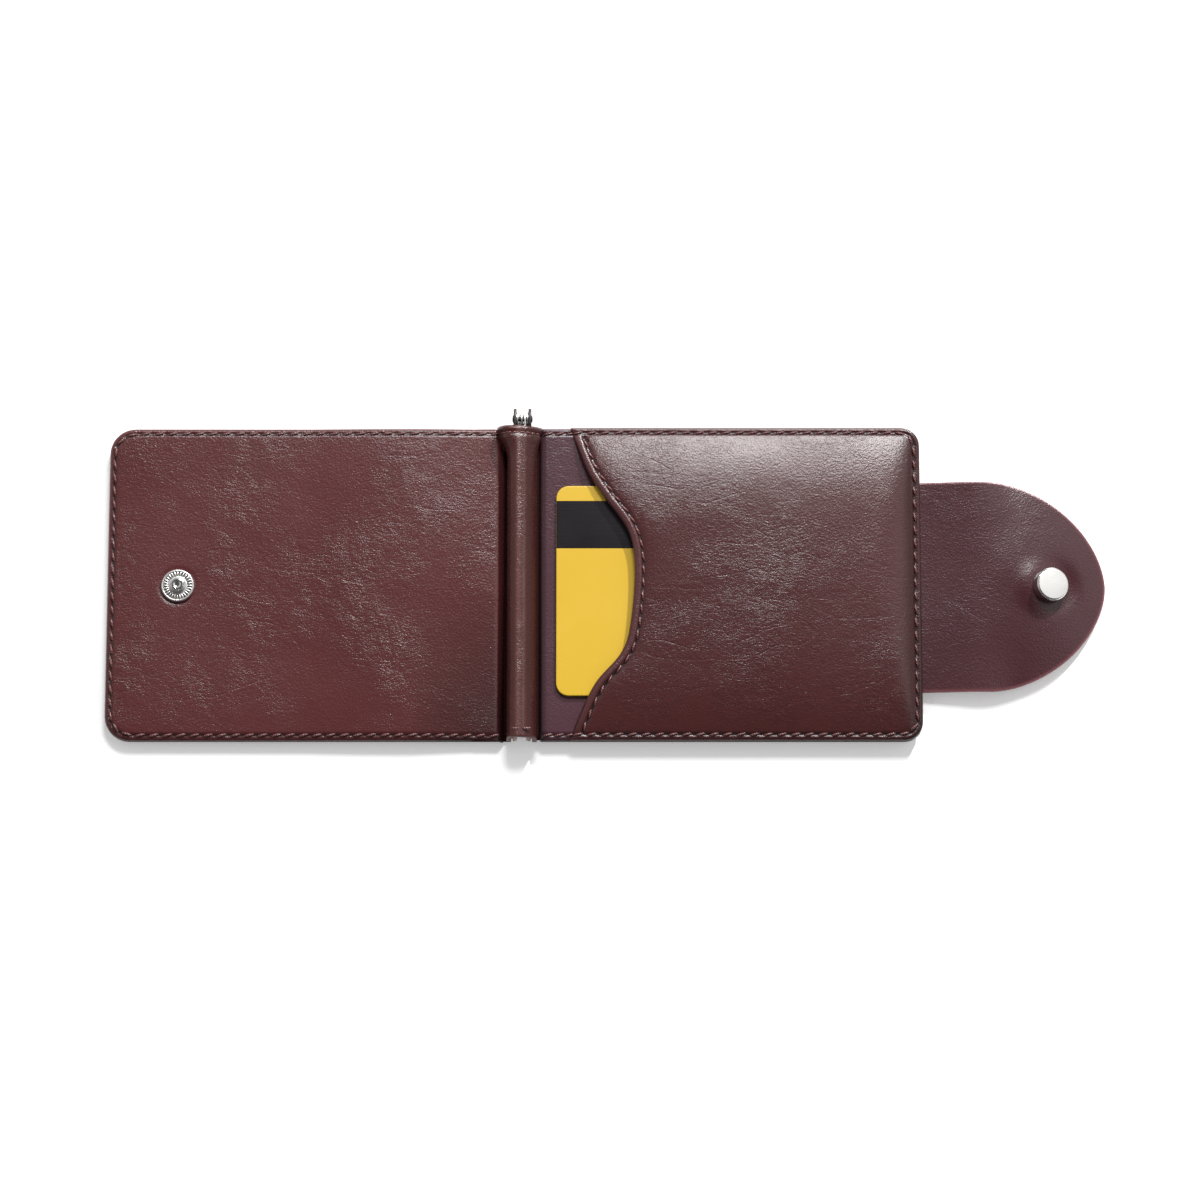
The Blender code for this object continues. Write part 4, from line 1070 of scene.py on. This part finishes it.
def strap_piece(name, low_x, high_x):
    """The stretch of the strap between two cuts, whose ends meet the next stretch's."""
    insets = [share * STRAP_EDGE for share in (0.15, 0.4, 0.75, 1.1, 1.8, 3.2, 6.0)]
    shape = slab(strap_outline(), insets, STRAP_CELL, STRAP_THICK, STRAP_EDGE)
    place = shape.verts.layers.float_vector.new(REST_PLACE)
    for cut, way in ((low_x, -1.0), (high_x, 1.0)):
        if cut is None:
            continue
        cut_across(shape, (cut, 0.0, 0.0), (way, 0.0, 0.0), dist=0.1 * CUT_GAP, clear_outer=True)
        rim = [edge for edge in shape.edges if edge.is_boundary]
        for edge in rim:
            edge.smooth = False
        bmesh.ops.holes_fill(shape, edges=rim)
    for vert in shape.verts:
        vert.co.z += strap_under(vert.co.x, vert.co.y) + STRAP_THICK / 2
        vert[place] = vert.co
    bmesh.ops.recalc_face_normals(shape, faces=shape.faces)
    return add_piece(name, shape, strap_hide)


strap_hide = leather(
    "strap_hide", (0.057, 0.0135, 0.018), (0.044, 0.0105, 0.014), rough=0.29, creases=0.5,
    follows=True, edge=(0.25, 0.085, 0.095),
)
cut_x = fold.x + (bend.x - fold.x) * CUT_SHARE
strap_root = strap_piece("strap_root_leather", None, cut_x)
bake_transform(strap_root)
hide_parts("strap_anchor", "strap_bridge")
strap_end = strap_piece("strap_end_leather", cut_x, None)
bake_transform(strap_end)
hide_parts("strap_tongue")


# The card is a standard plastic card, printed yellow with a dark magnetic stripe and left blank.
# It lies loose in the pocket, with its end showing in the mouth.
card_low, card_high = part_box("card")
CARD_CORNER = 3.18 * MM
CARD_EDGE = 0.16 * MM
CARD_CELL = 6.0 * MM
STRIPE_TOP = 3.9 * MM
STRIPE_WIDTH = 12.3 * MM


def scratches(tree, place, scale, stretch, turn=0.0):
    """The height of fine scratches that run one way."""
    turns, sizes = (0.0, 0.0, turn), (stretch, 1.0, 1.0)
    spot = add_node(tree, "Mapping", Vector=place, Rotation=turns, Scale=sizes).outputs[0]
    return add_node(tree, "TexNoise", Vector=spot, Scale=scale).outputs["Fac"]


def card_material(name, light, deep, rough, scratch_scale, scratch):
    """Laminated plastic: a faint sheen of wear over even print, and the fine scratches of use."""
    material, tree = new_material(name, Specular_IOR_Level=0.5)
    place = add_node(tree, "TexCoord").outputs["Object"]
    haze = add_node(tree, "TexNoise", Vector=place, Scale=60.0, Detail=5.0).outputs["Fac"]
    gloss = add_node(tree, "MapRange", Value=haze, To_Min=rough - 0.06, To_Max=rough + 0.10)
    lines = scratches(tree, place, scratch_scale, 0.04)
    tone = mix_colours(tree, haze, deep, light)
    feed_shader(tree, tone, gloss.outputs["Result"], lines, 0.02 * MM, scratch)
    return material


def make_card():
    """The card's slab, with the stripe as a band of its upper face."""
    outline = panel_outline(
        card_low.x, card_high.x, card_low.y, card_high.y, CARD_CORNER, CARD_CORNER, step=0.7 * MM
    )
    insets = [0.05 * MM, 0.1 * MM, CARD_EDGE, 0.5 * MM]
    shape = slab(outline, insets, CARD_CELL, card_high.z - card_low.z, CARD_EDGE)
    middle = (card_low.z + card_high.z) / 2
    stripe_high = card_high.y - STRIPE_TOP
    for y in (stripe_high, stripe_high - STRIPE_WIDTH):
        cut_across(shape, (0.0, y, 0.0), (0.0, 1.0, 0.0))
    for vert in shape.verts:
        vert.co.z += middle
    bmesh.ops.recalc_face_normals(shape, faces=shape.faces)
    for face in shape.faces:
        spot = face.calc_center_median()
        in_band = stripe_high - STRIPE_WIDTH < spot.y < stripe_high
        face.material_index = int(in_band and spot.z > middle and face.normal.z > 0.5)
    return add_piece("blank_card", shape, card_print, stripe_print)


card_print = card_material("card_print", (0.65, 0.415, 0.033), (0.61, 0.39, 0.029), 0.30, 1500.0, 0.15)
stripe_print = card_material(
    "stripe_print", (0.011, 0.008, 0.011), (0.008, 0.006, 0.008), 0.22, 2400.0, 0.5
)
card = make_card()
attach(card, "loose_card")
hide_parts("card")


# The snap is nickel-plated brass: a ribbed stud riveted to the cover, and a plain round cap whose
# post holds the socket under the strap.
def metal(name, colour, rough, spread=0.08, scratch=0.25):
    """Plated metal with faint clouds in its polish and fine scratches."""
    material, tree = new_material(name, Metallic=1.0)
    place = add_node(tree, "TexCoord").outputs["Object"]
    cloud = add_node(tree, "TexNoise", Vector=place, Scale=420.0, Detail=3.0).outputs["Fac"]
    tone = mix_colours(tree, cloud, tuple(0.9 * part for part in colour), colour)
    gloss = add_node(tree, "MapRange", Value=cloud, To_Min=rough, To_Max=rough + spread)
    lines = scratches(tree, place, 2200.0, 0.08, 0.7)
    feed_shader(tree, tone, gloss.outputs["Result"], lines, 0.01 * MM, scratch)
    return material


polished = metal("polished_nickel", (0.82, 0.81, 0.79), 0.07)
satin = metal("satin_nickel", (0.86, 0.85, 0.83), 0.30)
# The dark nickel in the stud's dish between the ribs is painted shade.
dish_shade_nickel = metal("painted_shade_nickel", (0.16, 0.14, 0.13), 0.45)


def eased(profile, radius, steps=4):
    """The profile with its corners rounded."""
    spots = [Vector(profile[0])]
    for before, here, after in zip(profile, profile[1:], profile[2:]):
        before, here, after = Vector(before), Vector(here), Vector(after)
        start = here + (before - here).normalized() * min(radius, 0.45 * (before - here).length)
        end = here + (after - here).normalized() * min(radius, 0.45 * (after - here).length)
        for step in range(steps + 1):
            t = step / steps
            spots.append(start * (1 - t) ** 2 + here * 2 * t * (1 - t) + end * t * t)
    return [*spots, Vector(profile[-1])]


def spin_profile(shape, profile, place, steps=72, ring=False):
    """Spins a profile of (radius, height) round an upright axis, then puts it in its place."""
    start = len(shape.verts)
    line = [shape.verts.new((radius, 0.0, height)) for radius, height in profile]
    pairs = list(zip(line, line[1:])) + ([(line[-1], line[0])] if ring else [])
    edges = [shape.edges.new(pair) for pair in pairs]
    bmesh.ops.spin(
        shape, geom=line + edges, cent=(0.0, 0.0, 0.0), axis=(0.0, 0.0, 1.0),
        angle=2 * math.pi, steps=steps, use_merge=True,
    )
    shape.verts.ensure_lookup_table()
    bmesh.ops.remove_doubles(shape, verts=shape.verts[start:], dist=0.1 * CUT_GAP)
    shape.verts.ensure_lookup_table()
    bmesh.ops.transform(shape, matrix=place, verts=shape.verts[start:])
    bmesh.ops.recalc_face_normals(shape, faces=shape.faces)


def finish_metal(piece, body, node):
    weighted = piece.modifiers.new("EvenShade", "WEIGHTED_NORMAL")
    weighted.keep_sharp = False
    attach(piece, body)
    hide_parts(node)


STUD_RIM = 0.55 * MM
STUD_DISH = 0.30 * MM
KNOB_RADIUS = 1.65 * MM
KNOB_TOP = 2.0 * MM
DISH_STEP = 0.12 * MM
STUD_BORE, BORE_DEPTH = 1.15 * MM, 1.45 * MM
METAL_EASE = 0.12 * MM
RIBS = 28
RIB_INNER, RIB_OUTER = 0.58, 0.86
RIB_WIDTH, RIB_HEIGHT, RIB_EASE = 0.36 * MM, 0.34 * MM, 0.09 * MM


def make_stud():
    """A hollow-topped knob in a dished flange, with pressed ribs inside its raised rim."""
    flange, knob, floor = stud_radius, KNOB_RADIUS, STUD_DISH - DISH_STEP
    profile = (
        (0.0, KNOB_TOP - 0.25 * MM), (0.36 * knob, KNOB_TOP - 0.22 * MM), (0.60 * knob, KNOB_TOP),
        (0.90 * knob, KNOB_TOP - 0.04 * MM), (knob, 0.74 * KNOB_TOP), (0.80 * knob, 0.52 * KNOB_TOP),
        (0.80 * knob, 0.32 * KNOB_TOP), (1.1 * knob, STUD_DISH), (0.56 * flange, STUD_DISH),
        (0.60 * flange, floor), (0.84 * flange, floor), (0.88 * flange, STUD_RIM),
        (0.96 * flange, STUD_RIM), (flange, 0.6 * STUD_RIM), (flange, 0.0),
        (STUD_BORE, 0.0), (STUD_BORE, BORE_DEPTH), (0.0, BORE_DEPTH),
    )
    shape = bmesh.new()
    place = Matrix.Translation((*stud_middle, stud_low.z))
    spin_profile(shape, eased(profile, METAL_EASE, 3), place)
    for face in shape.faces:
        reach = (face.calc_center_median().xy - Vector(stud_middle)).length / flange
        # The dish between the ribs takes the dark nickel as painted shade.
        in_dish = 0.6 < reach < 0.85 and face.normal.z > 0.8
        face.material_index = 2 if in_dish else int(0.46 < reach)
    ribs = bmesh.new()
    size = Matrix.Diagonal(((RIB_OUTER - RIB_INNER) * flange, RIB_WIDTH, RIB_HEIGHT, 1.0))
    out = Matrix.Translation((flange * (RIB_OUTER + RIB_INNER) / 2, 0.0, STUD_DISH))
    for index in range(RIBS):
        turn = Matrix.Rotation(2 * math.pi * index / RIBS, 4, "Z")
        bmesh.ops.create_cube(ribs, size=1.0, matrix=place @ turn @ out @ size)
    bmesh.ops.bevel(
        ribs, geom=ribs.edges[:], offset=RIB_EASE, segments=2, profile=0.5, affect="EDGES", material=-1
    )
    for face in ribs.faces:
        face.material_index = 1
    rib_mesh = bpy.data.meshes.new("ribs")
    ribs.to_mesh(rib_mesh)
    ribs.free()
    shape.from_mesh(rib_mesh)
    bpy.data.meshes.remove(rib_mesh)
    return add_piece("stud", shape, polished, satin, dish_shade_nickel)


finish_metal(make_stud(), "front_cover", "snap_stud")
SNAP_TILT = math.radians(15.99)
snap_place = Matrix.Translation(snap_spot) @ Matrix.Rotation(SNAP_TILT, 4, "Y")
CAP_RADIUS = 4.35 * MM
CAP_FOOT, CAP_TOP = 0.7 * MM, 3.7 * MM
CAP_PROFILE = (
    (0.0, CAP_TOP), (CAP_RADIUS - 0.5 * MM, CAP_TOP), (CAP_RADIUS - 0.12 * MM, CAP_TOP - 0.35 * MM),
    (CAP_RADIUS, CAP_FOOT), (CAP_RADIUS - 0.5 * MM, CAP_FOOT),
    (CAP_RADIUS - 0.5 * MM, CAP_TOP - 0.5 * MM), (1.1 * MM, CAP_TOP - 0.5 * MM),
    (1.1 * MM, -0.95 * MM), (0.0, -0.95 * MM),
)
SOCKET_PROFILE = (
    (3.8 * MM, -0.7 * MM), (3.8 * MM, -1.9 * MM), (3.5 * MM, -2.5 * MM), (2.0 * MM, -2.5 * MM),
    (2.0 * MM, -1.9 * MM), (2.8 * MM, -1.9 * MM), (2.8 * MM, -1.2 * MM), (1.35 * MM, -1.2 * MM),
    (1.35 * MM, -0.7 * MM),
)
shape = bmesh.new()
spin_profile(shape, eased(CAP_PROFILE, METAL_EASE, 3), snap_place, steps=96)
axis = snap_place.to_3x3() @ Vector((0.0, 0.0, 1.0))
for face in shape.faces:
    face.material_index = int(face.normal.dot(axis) > 0.98)
finish_metal(add_piece("cap", shape, polished, satin), "strap_end", "snap_cap")
shape = bmesh.new()
spin_profile(shape, SOCKET_PROFILE, snap_place, ring=True)
socket = add_piece("socket", shape, polished)
ease = socket.modifiers.new("EasedEdges", "BEVEL")
ease.width = METAL_EASE
ease.segments = 2
finish_metal(socket, "strap_end", "snap_socket")


# The clip is plated steel: a channel pressed round the arm, with an ear each side of a riveted
# pin, and a torsion spring that pulls the arm home. The arm and the spring keep their solids.
plated = metal("plated_steel", (0.62, 0.62, 0.61), 0.22, 0.12, 0.5)
shaded_steel = metal("shaded_steel", (0.10, 0.09, 0.09), 0.38, 0.12, 0.5)
channel_low, channel_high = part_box("clip_channel")
CHANNEL_WALL = 0.5 * MM
CHANNEL_INSET = 0.2 * MM
EAR_THICK, EAR_TRIM, EAR_ROOT = 0.75 * MM, 1.0 * MM, 4.0 * MM
ARCH_STEPS, EAR_STEPS = 24, 18
channel_half = (channel_high.x - channel_low.x) / 2


def make_channel():
    """A strip bent to an arch over the arm, open underneath."""
    shape = bmesh.new()
    spots = [(-channel_half, channel_low.z)]
    for step in range(ARCH_STEPS + 1):
        angle = math.pi * (1 - step / ARCH_STEPS)
        rise = channel_high.z - channel_half * (1 - math.sin(angle))
        spots.append((channel_half * math.cos(angle), rise))
    spots.append((channel_half, channel_low.z))
    line = [shape.verts.new((spine_x + x, channel_low.y, z)) for x, z in spots]
    edges = [shape.edges.new(pair) for pair in zip(line, line[1:])]
    draw_out(shape, edges, spine_high.y - CHANNEL_INSET - channel_low.y)
    face_up(shape)
    return thicken(add_piece("pressed_channel", shape, plated), CHANNEL_WALL)


def make_ear(side):
    """A round-ended ear beside the pin, cut and eased from the channel's wall."""
    reach = (channel_high.z - channel_low.z - EAR_TRIM) / 2
    middle, root = channel_high.y - reach, spine_high.y - EAR_ROOT
    spots = [(root, hinge.z - reach)]
    for step in range(EAR_STEPS + 1):
        angle = math.pi * (step / EAR_STEPS - 0.5)
        spots.append((middle + reach * math.cos(angle), hinge.z + reach * math.sin(angle)))
    spots.append((root, hinge.z + reach))
    shape = bmesh.new()
    x = spine_x + side * (channel_half - EAR_THICK / 2) + EAR_THICK / 2
    shape.faces.new([shape.verts.new((x, y, z)) for y, z in spots])
    bmesh.ops.recalc_face_normals(shape, faces=shape.faces)
    ear = add_piece(f"ear_{'left' if side < 0 else 'right'}", shape, shaded_steel)
    return thicken(ear, EAR_THICK, offset=-1.0 if ear.data.polygons[0].normal.x > 0 else 1.0)


hinge = Vector(joints["clip_hinge"]["pos_m"])
finish_metal(make_channel(), "spine", "clip_channel")
for side in (-1.0, 1.0):
    ear = make_ear(side)
    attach(ear, "spine")
for node, material in (
    ("clip_arm", satin), ("hinge_spring", satin), ("stud_post", satin),
    ("socket_spring", plated),
):
    mesh = frame["nodes"][node].data
    mesh.materials.clear()
    mesh.materials.append(material)
PIN_HALF, PIN_INSIDE = 2.6 * MM, 2.3 * MM
pin_profile = (
    (0.0, PIN_HALF), (0.75 * MM, PIN_HALF - 0.06 * MM), (1.0 * MM, PIN_HALF - 0.3 * MM),
    (1.0 * MM, PIN_INSIDE), (0.6 * MM, PIN_INSIDE), (0.6 * MM, -PIN_INSIDE), (1.0 * MM, -PIN_INSIDE),
    (1.0 * MM, 0.3 * MM - PIN_HALF), (0.75 * MM, 0.06 * MM - PIN_HALF), (0.0, -PIN_HALF),
)
shape = bmesh.new()
lay = Matrix.Translation(hinge) @ Matrix.Rotation(math.pi / 2, 4, "Y")
spin_profile(shape, pin_profile, lay, steps=40)
finish_metal(add_piece("rivet_pin", shape, shaded_steel), "spine", "hinge_pin")


# The inner faces have a thin lining and two card slots each, cut from softer leather, creased
# along their mouths and sewn down with the panel's edge. Plain board stiffens each panel.
SLOT_EDGE = 0.2 * MM
SLOT_ROUND = 3.0 * MM
CREASE_INSET = 1.8 * MM
INNER_SEAM = 2.3 * MM
INNER_TOP = 2.0 * MM
INNER_SINK = 0.35 * MM
INNER_CELL = 4.0 * MM
CREASE_HALF, CREASE_DEPTH = 0.25 * MM, 0.14 * MM
LINING_INSET = 0.8 * MM
SQUARE = 0.8 * MM


def inner_sheet(name, node, material, radii, creased):
    """A sheet of the inner face, with a pressed line along the mouth of a slot."""
    low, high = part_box(node)
    thick = high.z - low.z
    crease = high.y - CREASE_INSET
    outline = panel_outline(low.x, high.x, low.y, high.y, *radii, step=1.1 * MM)
    insets = [0.08 * MM, 0.2 * MM, 0.6 * MM]
    shape = slab(outline, insets, INNER_CELL, thick, min(SLOT_EDGE, 0.45 * thick))
    if creased:
        for gap in (CREASE_HALF, 0.0, -CREASE_HALF):
            cut_across(shape, (0.0, crease + gap, 0.0), (0.0, 1.0, 0.0))
    for vert in shape.verts:
        on_line = abs(vert.co.y - crease) < 0.02 * MM and vert.co.z < 0
        vert.co.z += low.z + thick / 2 + (CREASE_DEPTH if creased and on_line else 0.0)
    bmesh.ops.recalc_face_normals(shape, faces=shape.faces)
    return add_piece(name, shape, material)


def under_height(points, layers):
    """Height of the lowest sheet at each point, turned over, less what the thread sinks in."""
    steps = [np.where(points[:, 1] < high.y, low.z, 1.0) for low, high in layers]
    return -np.minimum.reduce(steps) - INNER_SINK


board_pulp = mottled(
    "grey_board", (0.22, 0.20, 0.17), (0.36, 0.33, 0.28), 900.0, 6.0, Roughness=0.9
)
lining_hide = leather(
    "lining_hide", (0.060, 0.024, 0.022), (0.048, 0.018, 0.017), rough=0.5, creases=0.2, relief=0.06 * MM
)
slot_hide = leather(
    "slot_hide", (0.082, 0.022, 0.022), (0.062, 0.016, 0.016), rough=0.36, creases=0.5, relief=0.08 * MM
)
for side, body, radii in (
    ("back", "back_panel", (SQUARE, BACK_RADIUS - LINING_INSET)),
    ("cover", "front_cover", (COVER_RADIUS - LINING_INSET, SQUARE)),
):
    mesh = frame["nodes"][f"{side}_board"].data
    mesh.materials.clear()
    mesh.materials.append(board_pulp)
    for node, material, corners, slot in (
        (f"{side}_lining", lining_hide, radii, "lining"),
        (f"{side}_card_slot_1", slot_hide, (SLOT_ROUND, SLOT_ROUND), "leather"),
        (f"{side}_card_slot_2", slot_hide, (SLOT_ROUND, SLOT_ROUND), "leather"),
    ):
        sheet = inner_sheet(f"{node}_leather", node, material, corners, slot == "leather")
        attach(sheet, body)
        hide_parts(node)
    layers = [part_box(f"{side}_{node}") for node in ("card_slot_2", "card_slot_1", "lining")]
    low, high = layers[0]
    top = layers[2][1].y - INNER_TOP
    near, far = (high.x, low.x) if side == "cover" else (low.x, high.x)
    toward = 1.0 if far > near else -1.0
    seam = [
        (near + toward * INNER_SEAM, top), (near + toward * INNER_SEAM, low.y + INNER_SEAM),
        (far - toward * INNER_SEAM, low.y + INNER_SEAM), (far - toward * INNER_SEAM, top),
    ]
    row = sew(f"{side}_inner_stitches", seam, lambda spots, sheets=layers: under_height(spots, sheets))
    row.data.transform(Matrix.Diagonal((1.0, 1.0, -1.0, 1.0)))
    row.data.flip_normals()
    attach(row, body)
